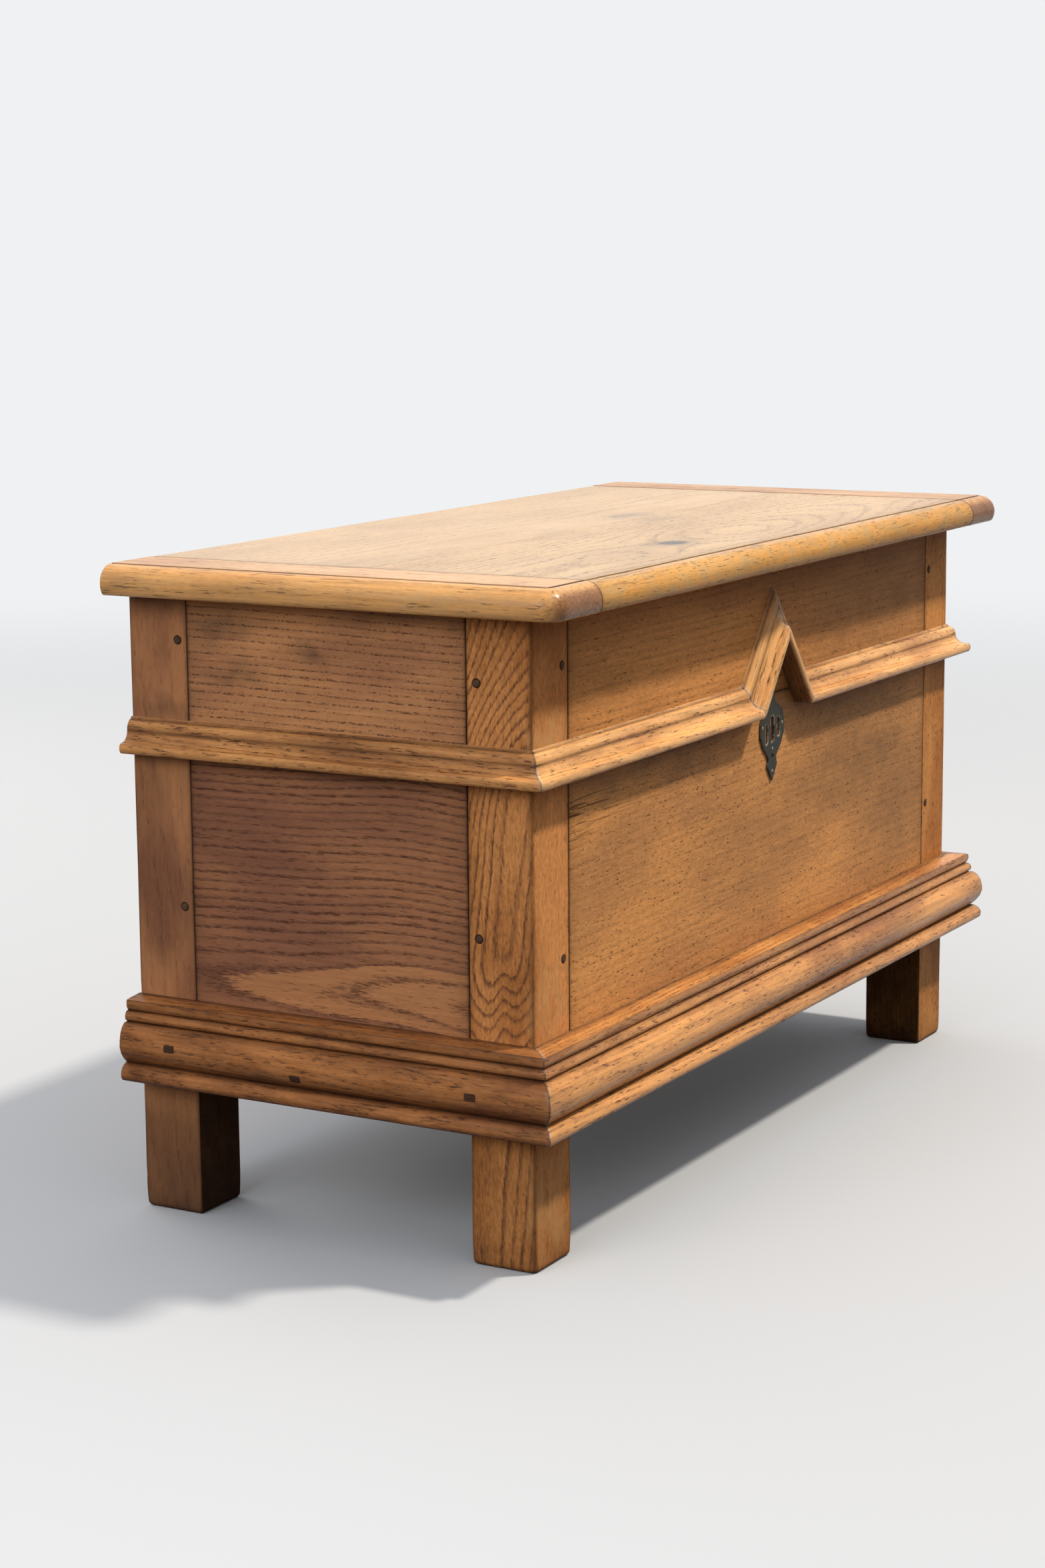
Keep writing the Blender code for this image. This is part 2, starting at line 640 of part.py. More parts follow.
def make_hinge(side):
    x = side * HINGE_X
    half = HINGE_WIDTH / 2
    middle = half - KNUCKLE_END
    centre = (HINGE_Y, HINGE_Z)
    bore = HINGE_PIN_RADIUS + HINGE_PIN_CLEARANCE
    front = HALF_DEPTH - HINGE_LEAF_DEPTH
    rear = LID_REAR - SEAM
    knuckles = {
        "carcass": ([(-half, -middle - SEAM / 2), (middle + SEAM / 2, half)], -1, carcass_body),
        "lid": ([(SEAM / 2 - middle, middle - SEAM / 2)], 1, lid_body),
    }
    for word, (spans, above, body) in knuckles.items():
        z_ends = sorted((HINGE_Z + above * SEAM / 2, HINGE_Z + above * (SEAM / 2 + HINGE_LEAF_THICKNESS)))
        plate = box((x - half, front, z_ends[0]), (x + half, rear, z_ends[1]))
        leaf = make_object(f"hinge_{word}_leaf_{side_word(side)}", plate)
        for low, high in spans:
            tab = box((x + low, front + (rear - front) / 2, z_ends[0]), (x + high, HINGE_Y, z_ends[1]))
            carve(leaf, tab, "UNION")
            carve(leaf, rod("X", centre, KNUCKLE_RADIUS, x + low, x + high, KNUCKLE_SIDES), "UNION")
        carve(leaf, rod("X", centre, bore, x - HINGE_WIDTH, x + HINGE_WIDTH, KNUCKLE_SIDES))
        finish_object(leaf, "iron_dark", body)
    reach = half + HINGE_PIN_PROUD
    pin = rod("X", centre, HINGE_PIN_RADIUS, x - reach, x + reach, KNUCKLE_SIDES)
    finish_object(make_object(f"hinge_pin_{side_word(side)}", pin), "iron_dark", carcass_body)


# Lock: an open-fronted case on the inside of the front, a sliding bolt, and a staple under the lid

def make_lock():
    half = CASE_WIDTH / 2
    outer = box((LOCK_X - half, CASE_FRONT, CASE_BOTTOM), (LOCK_X + half, CASE_BACK, CASE_TOP))
    case = make_object("lock_case", outer)
    room_low = (LOCK_X - half + CASE_WALL, CASE_FRONT - CASE_DEPTH, CASE_BOTTOM + CASE_WALL)
    room_high = (LOCK_X + half - CASE_WALL, CASE_BACK - CASE_WALL, CASE_TOP - CASE_WALL)
    carve(case, box(room_low, room_high))
    lug_half_x = LUG_THICKNESS / 2 + LUG_SLOT_CLEARANCE
    lug_half_y = LUG_WIDTH / 2 + LUG_SLOT_CLEARANCE
    slot_low = (LOCK_X - lug_half_x, BOLT_Y - lug_half_y, CASE_TOP - 2 * CASE_WALL)
    slot_high = (LOCK_X + lug_half_x, BOLT_Y + lug_half_y, CASE_TOP + CASE_WALL)
    carve(case, box(slot_low, slot_high))
    shelf_low = (LOCK_X - half + CASE_WALL / 2, BOLT_Y - BOLT_THICKNESS, CASE_BOTTOM + CASE_WALL / 2)
    shelf_high = (LOCK_X - KEYHOLE_WIDTH, CASE_BACK - CASE_WALL / 2, BOLT_BOTTOM - SEAM)
    carve(case, box(shelf_low, shelf_high), "UNION")
    finish_object(case, "iron_dark", carcass_body)

    arm_right = LOCK_X - BOLT_ARM_OFFSET
    arm_left = arm_right - BOLT_ARM_WIDTH
    nose_tip = LOCK_X - BOLT_TIP_OFFSET
    talon_right = arm_right - BOLT_TALON_DEPTH
    talon_half = BOLT_TALON_HEIGHT / 2
    outline = [
        (arm_left, BOLT_BOTTOM),
        (arm_right, BOLT_BOTTOM),
        (arm_right, KEYHOLE_Z - talon_half),
        (talon_right, KEYHOLE_Z - talon_half),
        (talon_right, KEYHOLE_Z + talon_half),
        (arm_right, KEYHOLE_Z + talon_half),
        (arm_right, BOLT_TOP - BOLT_NOSE_HEIGHT),
        (nose_tip, BOLT_TOP - BOLT_NOSE_HEIGHT),
        (nose_tip, BOLT_TOP),
        (arm_left, BOLT_TOP),
    ]
    half_bolt = BOLT_THICKNESS / 2
    bolt = make_object("lock_bolt", prism("Y", outline, BOLT_Y - half_bolt, BOLT_Y + half_bolt))
    finish_object(bolt, "iron_dark", bolt_body)

    half_plate = STAPLE_LENGTH / 2
    plate_low = (LOCK_X - half_plate, BOLT_Y - STAPLE_WIDTH / 2, STAPLE_TOP - STAPLE_PLATE)
    plate_high = (LOCK_X + half_plate, BOLT_Y + STAPLE_WIDTH / 2, STAPLE_TOP)
    staple = make_object("lid_staple", box(plate_low, plate_high))
    half_lug = LUG_THICKNESS / 2
    lug_low = (LOCK_X - half_lug, BOLT_Y - LUG_WIDTH / 2, STAPLE_BOTTOM)
    lug_high = (LOCK_X + half_lug, BOLT_Y + LUG_WIDTH / 2, STAPLE_TOP - STAPLE_PLATE / 2)
    carve(staple, box(lug_low, lug_high), "UNION")
    eye_half = BOLT_THICKNESS / 2 + EYE_CLEARANCE
    eye_low = (LOCK_X - LUG_THICKNESS, BOLT_Y - eye_half, EYE_Z - EYE_HEIGHT / 2)
    eye_high = (LOCK_X + LUG_THICKNESS, BOLT_Y + eye_half, EYE_Z + EYE_HEIGHT / 2)
    carve(staple, box(eye_low, eye_high))
    finish_object(staple, "iron_dark", lid_body)


# Keyhole plate: round shoulders under a narrow neck, tapering to a waist and a pointed leaf
def make_keyhole_plate():
    neck = PLATE_NECK_HALF_WIDTH
    shoulder_start = math.degrees(math.acos(neck / PLATE_HALF_WIDTH))
    tip_rise = PLATE_TIP_DROP - PLATE_WAIST_DROP
    right = ellipse_arc((0, PLATE_NECK_TOP - neck), (neck, neck), 90, 0, 3)
    right += ellipse_arc((0, 0), (PLATE_HALF_WIDTH, PLATE_CROWN), shoulder_start, 0)
    taper = (PLATE_HALF_WIDTH - PLATE_WAIST_HALF_WIDTH, PLATE_WAIST_DROP)
    for i in range(1, ARC_STEPS + 1):
        share = i / ARC_STEPS
        ease = (1 - math.cos(math.pi * share)) / 2
        right.append((PLATE_HALF_WIDTH - taper[0] * ease, -taper[1] * share))
    for i in range(1, ARC_STEPS + 1):
        share = i / ARC_STEPS
        right.append((PLATE_WAIST_HALF_WIDTH * (1 - share ** 2), -PLATE_WAIST_DROP - tip_rise * share))
    left = [(-x, z) for x, z in reversed(right[1:-1])]
    outline = [(LOCK_X + x, KEYHOLE_Z + z) for x, z in right + left]
    back = -HALF_DEPTH - SEAM
    plate = make_object("keyhole_plate", prism("Y", outline, back - PLATE_THICKNESS, back))
    piercings = [slot_outline((LOCK_X, KEYHOLE_Z), KEYHOLE_WIDTH, KEYHOLE_HEIGHT)]
    for side in (-1, 1):
        centre = (LOCK_X + side * PIERCING_OFFSET, KEYHOLE_Z)
        piercings.append(slot_outline(centre, PIERCING_WIDTH, PIERCING_HEIGHT))
    for piercing in piercings:
        carve(plate, prism("Y", piercing, back - 2 * PLATE_THICKNESS, back + PLATE_THICKNESS))
    finish_object(plate, "iron_dark", carcass_body)


for old in list(bpy.data.objects):
    bpy.data.objects.remove(old)

finishes = {name: make_finish(name) for name in FINISHES}
carcass_body = make_empty("carcass", (0, CARCASS_Y, 0))
lid_body = make_empty("lid_axis", (0, HINGE_Y, HINGE_Z), carcass_body)
bolt_body = make_empty("bolt_slide", (LOCK_X, BOLT_Y, EYE_Z), carcass_body)

make_walls_and_pegs()
make_bottom()
make_base_moulding()
make_waist_moulding()
make_lid()
for hinge_side in (-1, 1):
    make_hinge(hinge_side)
make_lock()
make_keyhole_plate()
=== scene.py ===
import math

import bpy
import numpy as np
from mathutils import Matrix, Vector
from mathutils.kdtree import KDTree


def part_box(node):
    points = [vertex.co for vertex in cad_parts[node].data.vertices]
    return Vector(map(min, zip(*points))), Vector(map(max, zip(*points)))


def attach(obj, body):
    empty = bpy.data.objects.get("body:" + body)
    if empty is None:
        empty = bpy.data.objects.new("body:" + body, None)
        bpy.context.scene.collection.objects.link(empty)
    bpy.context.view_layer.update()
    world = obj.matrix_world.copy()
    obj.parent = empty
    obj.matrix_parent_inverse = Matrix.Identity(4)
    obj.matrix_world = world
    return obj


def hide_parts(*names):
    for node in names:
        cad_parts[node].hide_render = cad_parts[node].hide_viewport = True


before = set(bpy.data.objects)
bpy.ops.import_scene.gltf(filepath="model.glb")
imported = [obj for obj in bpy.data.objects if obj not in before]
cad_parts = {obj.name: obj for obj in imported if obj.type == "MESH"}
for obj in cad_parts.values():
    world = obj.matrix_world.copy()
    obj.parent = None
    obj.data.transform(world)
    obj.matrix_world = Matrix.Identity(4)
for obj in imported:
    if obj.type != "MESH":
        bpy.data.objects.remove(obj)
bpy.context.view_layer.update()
scene = bpy.context.scene
scene.view_settings.view_transform = "Standard"
print("frame loaded:", len(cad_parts), "nodes")


# Shader maths

class Signal:  # a node socket that takes part in sums; node() makes every other kind of node
    def __init__(self, tree, socket=None):
        self.tree = tree
        self.socket = socket

    def node(self, kind, settings=None, sockets=None, out=0):
        made = self.tree.nodes.new("ShaderNode" + kind)
        for key, value in (settings or {}).items():
            setattr(made, key, value)
        for key, value in (sockets or {}).items():
            if isinstance(value, Signal):
                self.tree.links.new(value.socket, made.inputs[key])
            else:
                made.inputs[key].default_value = value
        return Signal(self.tree, made.outputs[out])

    def maths(self, operation, *values):
        return self.node("Math", {"operation": operation}, dict(enumerate(values)))

    def __add__(self, other):
        return self.maths("ADD", self, other)

    def __sub__(self, other):
        return self.maths("SUBTRACT", self, other)

    def __rsub__(self, other):
        return self.maths("SUBTRACT", other, self)

    def __mul__(self, other):
        return self.maths("MULTIPLY", self, other)

    def __truediv__(self, other):
        return self.maths("DIVIDE", self, other)

    __radd__ = __add__
    __rmul__ = __mul__

    def dot(self, direction):
        return self.node("VectorMath", {"operation": "DOT_PRODUCT"}, {0: self, 1: direction}, "Value")

    def step(self, low, high):  # 0 below low and 1 above high, eased between; falls where low is the larger
        sockets = {"Value": self, "From Min": low, "From Max": high}
        return self.node("MapRange", {"interpolation_type": "SMOOTHSTEP"}, sockets)

    def bell(self, width):  # 1 at zero, falling away over width
        scaled = self / width
        return self.maths("EXPONENT", scaled * scaled * -1.0)

    def far(self, other):  # length of the step whose two parts are this and other
        return self.maths("SQRT", self * self + other * other)

    def noise(self, scale, detail=2.0, roughness=0.5):
        sockets = {"Vector": self, "Scale": scale, "Detail": detail, "Roughness": roughness}
        return self.node("TexNoise", {}, sockets)

    def blend(self, share, first, second):  # the first colour where share is 0, the second where it is 1
        return self.node("Mix", {"data_type": "RGBA"}, {0: share, 6: first, 7: second}, 2)

    def tint(self, amount):  # a colour made lighter or darker by a number
        grey = self.node("CombineXYZ", {}, {0: amount, 1: amount, 2: amount})
        return self.node("VectorMath", {"operation": "MULTIPLY"}, {0: self, 1: grey})


def newFinish(name):
    finish = bpy.data.materials.new(name)
    finish.use_nodes = True
    return finish, Signal(finish.node_tree), finish.node_tree.nodes["Principled BSDF"]


def feed(signal, shader, socket):
    signal.tree.links.new(signal.socket, shader.inputs[socket])


# Oak: growth rings round a pith line, vessels drawn out along the grain, stain, grime and wear, with painted shade and
# painted light laid in among them

oakLook = {
    "late": (0.53, 0.205, 0.044, 1),  # the smooth part of a ring
    "ruddy": (0.32, 0.105, 0.026, 1),  # where old polish has darkened it
    "early": (0.165, 0.058, 0.021, 1),  # the open-pored part
    "pore": (0.070, 0.026, 0.011, 1),
    "grimeAndShade": (0.030, 0.014, 0.008, 1), "end": (0.150, 0.052, 0.019, 1),
    "wearAndHighlight": (0.66, 0.31, 0.095, 1),
    "bare": (0.40, 0.245, 0.130, 1),
    "stainAndPaintedLight": (0.060, 0.040, 0.028, 1),
    "bright": 1.0, "ruddyBase": 0.0, "ruddyShare": 0.60,
    "bandTone": 0.60, "poreTone": 0.80, "crowding": 0.13, "openPores": 0.62,
    "ring": 0.0090, "earlyShare": 0.45, "wobble": 0.016, "ragged": 0.0050,
    "grain": "x", "middle": 0.0, "pith": (0.0, 0.0), "lean": (0.0, 0.0),
    "arches": (), "sway": (0.0, 0.0, 0.1), "heart": 0.0, "seed": 0.0, "quiet": 0.0, "endTone": 0.5,
    "poreLength": 8.0, "cloud": 0.45, "streak": 0.70, "fleck": 0.35,
    "broken": 0.6, "shift": 0.0, "ripple": (0.0, 0.0, 0.1), "fissures": (), "footDirtAndShade": (0.0, 0.0),
    "stroke": 3.5, "sideTone": 0.0, "uneven": 0.5,
    "knots": (), "marks": (), "roughness": 0.42, "shine": 0.025, "polish": 0.0,
}
grainFrames = {  # the grain's direction, then two directions across it
    "x": ((1, 0, 0), (0, 0, 1), (0, 1, 0)),
    "y": ((0, 1, 0), (0, 0, 1), (1, 0, 0)),
    "z": ((0, 0, 1), (0, 1, 0), (1, 0, 0)),
    "lid": ((1, 0, 0), (0, 1, 0), (0, 0, 1)),
    "cleat": ((0, 1, 0), (1, 0, 0), (0, 0, 1)),
}


def spot(place, centre, size):  # 1 at the centre of an ellipsoid, 0 at its edge and outside
    away = place.node("VectorMath", {"operation": "SUBTRACT"}, {0: place, 1: centre})
    share = tuple(1 / s for s in size)
    away = away.node("VectorMath", {"operation": "MULTIPLY"}, {0: away, 1: share})
    return away.node("VectorMath", {"operation": "LENGTH"}, {0: away}, "Value").step(1.0, 0.0)


def oakFinish(name, log):
    look = {**oakLook, **log}
    finish, begin, shader = newFinish(name)
    place = begin.node("TexCoord", out="Object")
    grain, wide, deep = grainFrames.get(look["grain"], look["grain"])
    along = place.dot(grain) - look["middle"]
    across = place.dot(wide)
    depth = place.dot(deep)
    seed = look["seed"]

    def drawnOut(length):  # coordinates in which a round speck is drawn out along the grain
        return begin.node("CombineXYZ", {}, {0: along / length + seed, 1: across + 2.3 * seed, 2: depth})

    # ring number = distance to the pith / ring width; the pith leans, arches and sways along the grain
    swayHeight, swayPlace, swayLength = look["sway"]
    pithWide = along * look["lean"][0] + look["pith"][0]
    if swayHeight:
        pithWide = pithWide + (along - swayPlace).bell(swayLength) * swayHeight
    pithDeep = along * look["lean"][1] + look["pith"][1]
    rippleHeight, ripplePlace, rippleWidth = look["ripple"]
    figure = along
    if rippleHeight:
        figure = along - (across - ripplePlace).bell(rippleWidth) * rippleHeight
    for depthen, begins, ends in look["arches"]:  # the ripple bends only the arches that open downwards
        pithDeep = pithDeep + (figure if ends < 0 else along).step(begins, ends) * depthen
    radius = (across - pithWide).far(depth - pithDeep)
    radius = radius + (drawnOut(2.0).noise(9.0, 2.0, 0.45) - 0.5) * look["wobble"]
    radius = radius + (drawnOut(9.0).noise(640.0, 3.0, 0.65) - 0.5) * look["ragged"]
    for centre, size, lift in look["knots"]:
        radius = radius + spot(place, centre, [6 * s for s in size]) * lift
    turns = radius / look["ring"] + look["shift"]
    phase = turns.maths("FRACT", turns)
    year = turns.maths("FLOOR", turns)
    vigour = year.node("TexWhiteNoise", {"noise_dimensions": "1D"}, {"W": year + 17.0 * seed})
    facing = begin.node("TexCoord", out="Normal")
    early = (1 - phase.step(0.06, look["earlyShare"])) * phase.step(0.0, 0.05) + phase.step(0.95, 1.0) * 0.5
    chain = drawnOut(look["stroke"]).noise(330.0, 2.0, 0.5).step(0.34, 0.56)  # a ring is a chain of short strokes
    early = early * (vigour * look["uneven"] + (1 - look["uneven"])) * (chain * look["broken"] + (1 - look["broken"]))
    sideways = facing.dot(wide)
    sideways = sideways.maths("ABSOLUTE", sideways)
    early = early * (1 - sideways * look["quiet"])

    # vessels: dark dashes along the grain, crowded in the early part of each ring
    vessels = drawnOut(look["poreLength"]).noise(620.0, 2.0, 0.5) + early * look["crowding"]
    pores = vessels.step(look["openPores"], look["openPores"] + 0.09)
    for centre, size in look["fissures"]:
        gaps = drawnOut(26.0).noise(430.0, 2.0, 0.5).step(0.55, 0.62) * spot(place, centre, size)
        pores = pores.maths("MAXIMUM", pores, gaps)
    streak = drawnOut(34.0).noise(300.0, 4.0, 0.7) - 0.5
    fleck = drawnOut(3.0).noise(480.0, 2.0, 0.6) - 0.5
    cloud = drawnOut(2.5).noise(11.0, 4.0, 0.62)
    patchy = drawnOut(1.5).noise(60.0, 3.0, 0.65)

    # the three surfaceMarks channels: wear that also carries painted highlights and painted light, grime that also
    # carries painted shade, and bare wood
    marks = begin.node("Attribute", {"attribute_name": "surfaceMarks"}, out="Vector")
    wearAndHighlight, grimeAndShade, bare = (begin.node("SeparateXYZ", {}, {0: marks}, out) for out in range(3))
    wearAndHighlight = wearAndHighlight * patchy.step(0.30, 0.62)
    grimeAndShade = grimeAndShade * (patchy * 0.6 + 0.55)
    endwise = facing.dot(grain)
    endGrain = endwise.maths("ABSOLUTE", endwise).step(0.42, 0.92)

    tone = (cloud - 0.5) * look["cloud"] + streak * look["streak"] + fleck * look["fleck"] + 1
    # faces across the grain's width are lightened: partly a sawn face's own tone, partly painted light on a post's lit
    # front
    tone = tone + sideways * look["sideTone"]
    ruddy = cloud.step(0.60, 0.36) * look["ruddyShare"] + look["ruddyBase"]
    if look["heart"]:  # sound bright wood inside the ring of this number
        sound = turns.step(look["heart"] + 0.04, look["heart"] - 0.04)
        ruddy = ruddy * (1 - sound * 0.7)
        tone = tone + sound * 0.10
    # below a given height the wood is darker: dirt on the feet and painted shade under the chest
    darkBelow, darkShare = look["footDirtAndShade"]
    if darkShare:
        tone = tone * (1 - place.dot((0, 0, 1)).step(darkBelow, darkBelow - 0.04) * darkShare)
    colour = begin.blend(ruddy, look["late"], look["ruddy"])
    colour = begin.blend(bare * 0.85, colour, look["bare"])
    colour = begin.blend(early * look["bandTone"], colour, look["early"])
    colour = begin.blend(endGrain * look["endTone"], colour, look["end"]).tint(tone * look["bright"])
    rubbedAndHighlight = begin.node("CombineXYZ", {}, {axis: tone * look["wearAndHighlight"][axis] for axis in range(3)})
    colour = begin.blend(wearAndHighlight * (1 - endGrain * 0.8) * 0.75, colour, rubbedAndHighlight)
    colour = begin.blend(pores * look["poreTone"] * (1 - wearAndHighlight * 0.4), colour, look["pore"])
    drift = drawnOut(2.0).node("TexNoise", {}, {"Vector": drawnOut(2.0), "Scale": 38.0, "Detail": 3.0}, "Color")
    drift = begin.node("VectorMath", {"operation": "MULTIPLY_ADD"}, {0: drift, 1: (0.05, 0.05, 0.05), 2: (-0.025, -0.025, -0.025)})
    drift = begin.node("VectorMath", {"operation": "ADD"}, {0: place, 1: drift})
    # patches blended towards the stain colour: real stains, painted shade in several logs and painted light on the
    # front left post
    for centre, size, strength in look["marks"]:
        share = spot(drift, centre, size) * (patchy * 0.9 + 0.35) * strength
        colour = begin.blend(share, colour, look["stainAndPaintedLight"])
    for centre, size, _ in look["knots"]:
        colour = begin.blend(spot(place, centre, size).step(0.0, 0.45) * 0.92, colour, look["grimeAndShade"])
    colour = begin.blend(grimeAndShade, colour, look["grimeAndShade"])
    feed(colour, shader, "Base Color")

    rough = pores * 0.22 + (0.5 - cloud) * 0.20 + bare * 0.25 + grimeAndShade * 0.20 + look["roughness"] - wearAndHighlight * 0.08
    feed(rough, shader, "Roughness")
    shader.inputs["Specular IOR Level"].default_value = look["shine"]
    if look["polish"]:  # wax rubbed into level faces
        feed(facing.dot((0, 0, 1)).step(0.80, 0.97) * look["polish"], shader, "Coat Weight")
        shader.inputs["Coat Roughness"].default_value = 0.22
    height = streak * 0.45 + fleck * 0.25 - pores * 0.9 - early * 0.25
    bump = begin.node("Bump", {}, {"Strength": 0.6, "Distance": 0.0005, "Height": height})
    feed(bump, shader, "Normal")
    return finish


def ironFinish(name, colour, rust, metal, rims=()):
    finish, begin, shader = newFinish(name)
    place = begin.node("TexCoord", out="Object")
    pits = place.noise(420.0, 3.0, 0.6)
    cloud = place.noise(45.0, 3.0, 0.6)
    marks = begin.node("Attribute", {"attribute_name": "surfaceMarks"}, out="Vector")
    wearAndHighlight = begin.node("SeparateXYZ", {}, {0: marks}, 0) * pits.step(0.35, 0.60)
    for x, z, straight, radius in rims:  # bright rim round each upright slot: worn metal and painted glint
        offX = place.dot((1, 0, 0)) - x
        offZ = place.dot((0, 0, 1)) - z
        offZ = (offZ.maths("ABSOLUTE", offZ) - straight).maths("MAXIMUM", offZ.maths("ABSOLUTE", offZ) - straight, 0.0)
        rim = (offX.far(offZ) - radius - 0.0004).bell(0.0009) * place.noise(260.0, 1.0).step(0.38, 0.62)
        wearAndHighlight = wearAndHighlight.maths("MAXIMUM", wearAndHighlight, rim * 1.5)
    surface = begin.blend(cloud.step(0.45, 0.72) * 0.65, colour, rust).tint(pits * 0.9 + 0.55)
    feed(begin.blend(wearAndHighlight * 0.6, surface, (0.42, 0.33, 0.24, 1)), shader, "Base Color")
    feed(cloud * 0.25 + pits * 0.25 + 0.28, shader, "Roughness")
    shader.inputs["Metallic"].default_value = metal
    shader.inputs["Specular IOR Level"].default_value = 0.12
    bump = begin.node("Bump", {}, {"Strength": 0.6, "Distance": 0.0006, "Height": pits + cloud * 0.6})
    feed(bump, shader, "Normal")
    return finish


# Surfaces

def softRectangle(halfWide, halfThick, radii, cell, turns=4):
    # outline of a rectangle: each corner is centre + r (cos t, sin t), and the sides between are divided evenly
    halfWide, halfThick = np.atleast_1d(halfWide)[:, None], np.atleast_1d(halfThick)[:, None]
    radii = np.broadcast_to(radii, (len(halfWide), 4))
    corners = []
    for k, (signWide, signThick) in enumerate(((1, -1), (1, 1), (-1, 1), (-1, -1))):
        turn = np.radians(np.linspace(0, 90, turns + 1) + 90 * k - 90)[None]
        r = radii[:, k:k + 1]
        wide = signWide * (halfWide - r) + r * np.cos(turn)
        thick = signThick * (halfThick - r) + r * np.sin(turn)
        corners.append(np.stack([wide, thick], -1))
    outline = []
    for k in range(4):
        start, end = corners[k][:, -1:], corners[(k + 1) % 4][:, :1]
        size = np.linalg.norm((end - start)[len(start) // 2, 0])
        edge = min(0.0012 / size, 0.08)
        inner = np.linspace(0, 1, max(2, round(size / cell)) + 1)[1:-1]
        share = np.r_[edge, 3 * edge, inner, 1 - 3 * edge, 1 - edge][None, :, None]
        outline += [corners[k], start + (end - start) * share]
    return np.concatenate(outline, 1)


def softPath(low, high, lowRound, highRound, cell, turns=4):
    # stations along a bar: a rounded end has place r (1 - cos t) and inset r (1 - sin t)
    turn = np.linspace(0, np.pi / 2, turns + 1)
    inner = np.linspace(low + lowRound, high - highRound, max(2, round((high - low) / cell)) + 1)[1:-1]
    inner = np.r_[low + lowRound + np.array([0.0012, 0.0036]), inner, high - highRound - np.array([0.0036, 0.0012])]
    place = [low + lowRound * (1 - np.cos(turn)), inner, (high - highRound * (1 - np.cos(turn)))[::-1]]
    inset = [lowRound * (1 - np.sin(turn)), inner * 0, (highRound * (1 - np.sin(turn)))[::-1]]
    return np.concatenate(place), np.concatenate(inset)


def swell(along, across, seed, length=0.11):
    # gentle hand-planed unevenness between 0 and 1: a mean of sines with seeded directions and phases
    rng = np.random.default_rng(int(seed * 1000) + 5)
    total = 0.0
    for share in (1.0, 0.62, 0.41, 0.27):
        turn, phase = rng.uniform(-0.9, 0.9), rng.uniform(0, 6.28)
        travel = along * np.cos(turn) * 0.6 + across * np.sin(turn) * 1.6
        total = total + np.sin(travel * 6.28 / (length * share) + phase) * share
    return 0.5 + total / 4.6


def near(distance, reach):  # 1 at no distance, falling away over the reach
    return np.exp(-np.maximum(distance, 0.0) / reach)


def makePiece(name, points, marks=None, caps=True):
    # points: stations by outline by xyz; the outline closes on itself and the ends are flat faces
    rows, cols = points.shape[:2]
    r, c = np.meshgrid(np.arange(rows - 1), np.arange(cols), indexing="ij")
    n = (c + 1) % cols
    quads = np.stack([r * cols + c, r * cols + n, (r + 1) * cols + n, (r + 1) * cols + c], -1).reshape(-1, 4)
    flat = points.reshape(-1, 3)
    tris = np.concatenate([quads[:, [0, 1, 2]], quads[:, [0, 2, 3]]])
    volume = np.einsum("ij,ij->i", flat[tris[:, 0]] - flat.mean(0),
                       np.cross(flat[tris[:, 1]] - flat.mean(0), flat[tris[:, 2]] - flat.mean(0))).sum()
    faces = quads.tolist()
    if caps:
        faces += [list(range(cols))[::-1], list(range((rows - 1) * cols, rows * cols))]
    if volume < 0:
        faces = [face[::-1] for face in faces]
    mesh = bpy.data.meshes.new(name)
    mesh.from_pydata(flat.tolist(), [], faces)
    layer = mesh.attributes.new("surfaceMarks", "FLOAT_VECTOR", "POINT")
    values = np.zeros((len(flat), 3)) if marks is None else np.stack([m.reshape(-1) for m in marks], -1)
    layer.data.foreach_set("vector", np.clip(values, 0, 1).astype(np.float32).reshape(-1))
    mesh.shade_smooth()
    mesh.set_sharp_from_angle(angle=math.radians(38))
    piece = bpy.data.objects.new(name, mesh)
    scene.collection.objects.link(piece)
    return piece


def cut(piece, name, rings):  # takes lofted plugs, each a stack of outlines, out of a piece
    plugs = [makePiece(f"{name}{i}", np.array(ring)) for i, ring in enumerate(rings)]
    for plug in plugs:
        tool = piece.modifiers.new("cut", "BOOLEAN")
        tool.object = plug
        tool.solver = "EXACT"
    graph = bpy.context.evaluated_depsgraph_get()
    mesh = bpy.data.meshes.new_from_object(piece.evaluated_get(graph))
    # a cut clears the marks, so each point takes those of the nearest point before it
    before = piece.data
    marks = np.zeros(len(before.vertices) * 3, np.float32)
    before.attributes["surfaceMarks"].data.foreach_get("vector", marks)
    nearest = KDTree(len(before.vertices))
    for vertex in before.vertices:
        nearest.insert(vertex.co, vertex.index)
    nearest.balance()
    found = [nearest.find(vertex.co)[1] for vertex in mesh.vertices]
    mesh.attributes["surfaceMarks"].data.foreach_set("vector", marks.reshape(-1, 3)[found].reshape(-1))
    piece.modifiers.clear()
    piece.data = mesh
    mesh.set_sharp_from_angle(angle=math.radians(38))
    for plug in plugs:
        bpy.data.objects.remove(plug)


def settle(piece, finish, slot, body, *nodes):
    piece.data.materials.clear()
    piece.data.materials.append(finish)
    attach(piece, body)
    if nodes:
        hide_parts(*nodes)


def span(node):
    low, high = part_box(node)
    return np.array(low), np.array(high)


def word(side):
    return "left" if side < 0 else "right"


def place(face):
    return "front" if face < 0 else "rear"


postLow, postHigh = span("post_front_left")
rearLow, rearHigh = span("post_rear_right")
halfLength = rearHigh[0]
frontFace, rearFace = postLow[1], rearHigh[1]
postWidth = postHigh[0] - postLow[0]
carcassTop = postHigh[2]
carcassMiddle = (frontFace + rearFace) / 2
lockX = float(np.mean([span("keyhole_plate")[0][0], span("keyhole_plate")[1][0]]))


# Wall boards: horizontal grain, flush between the posts

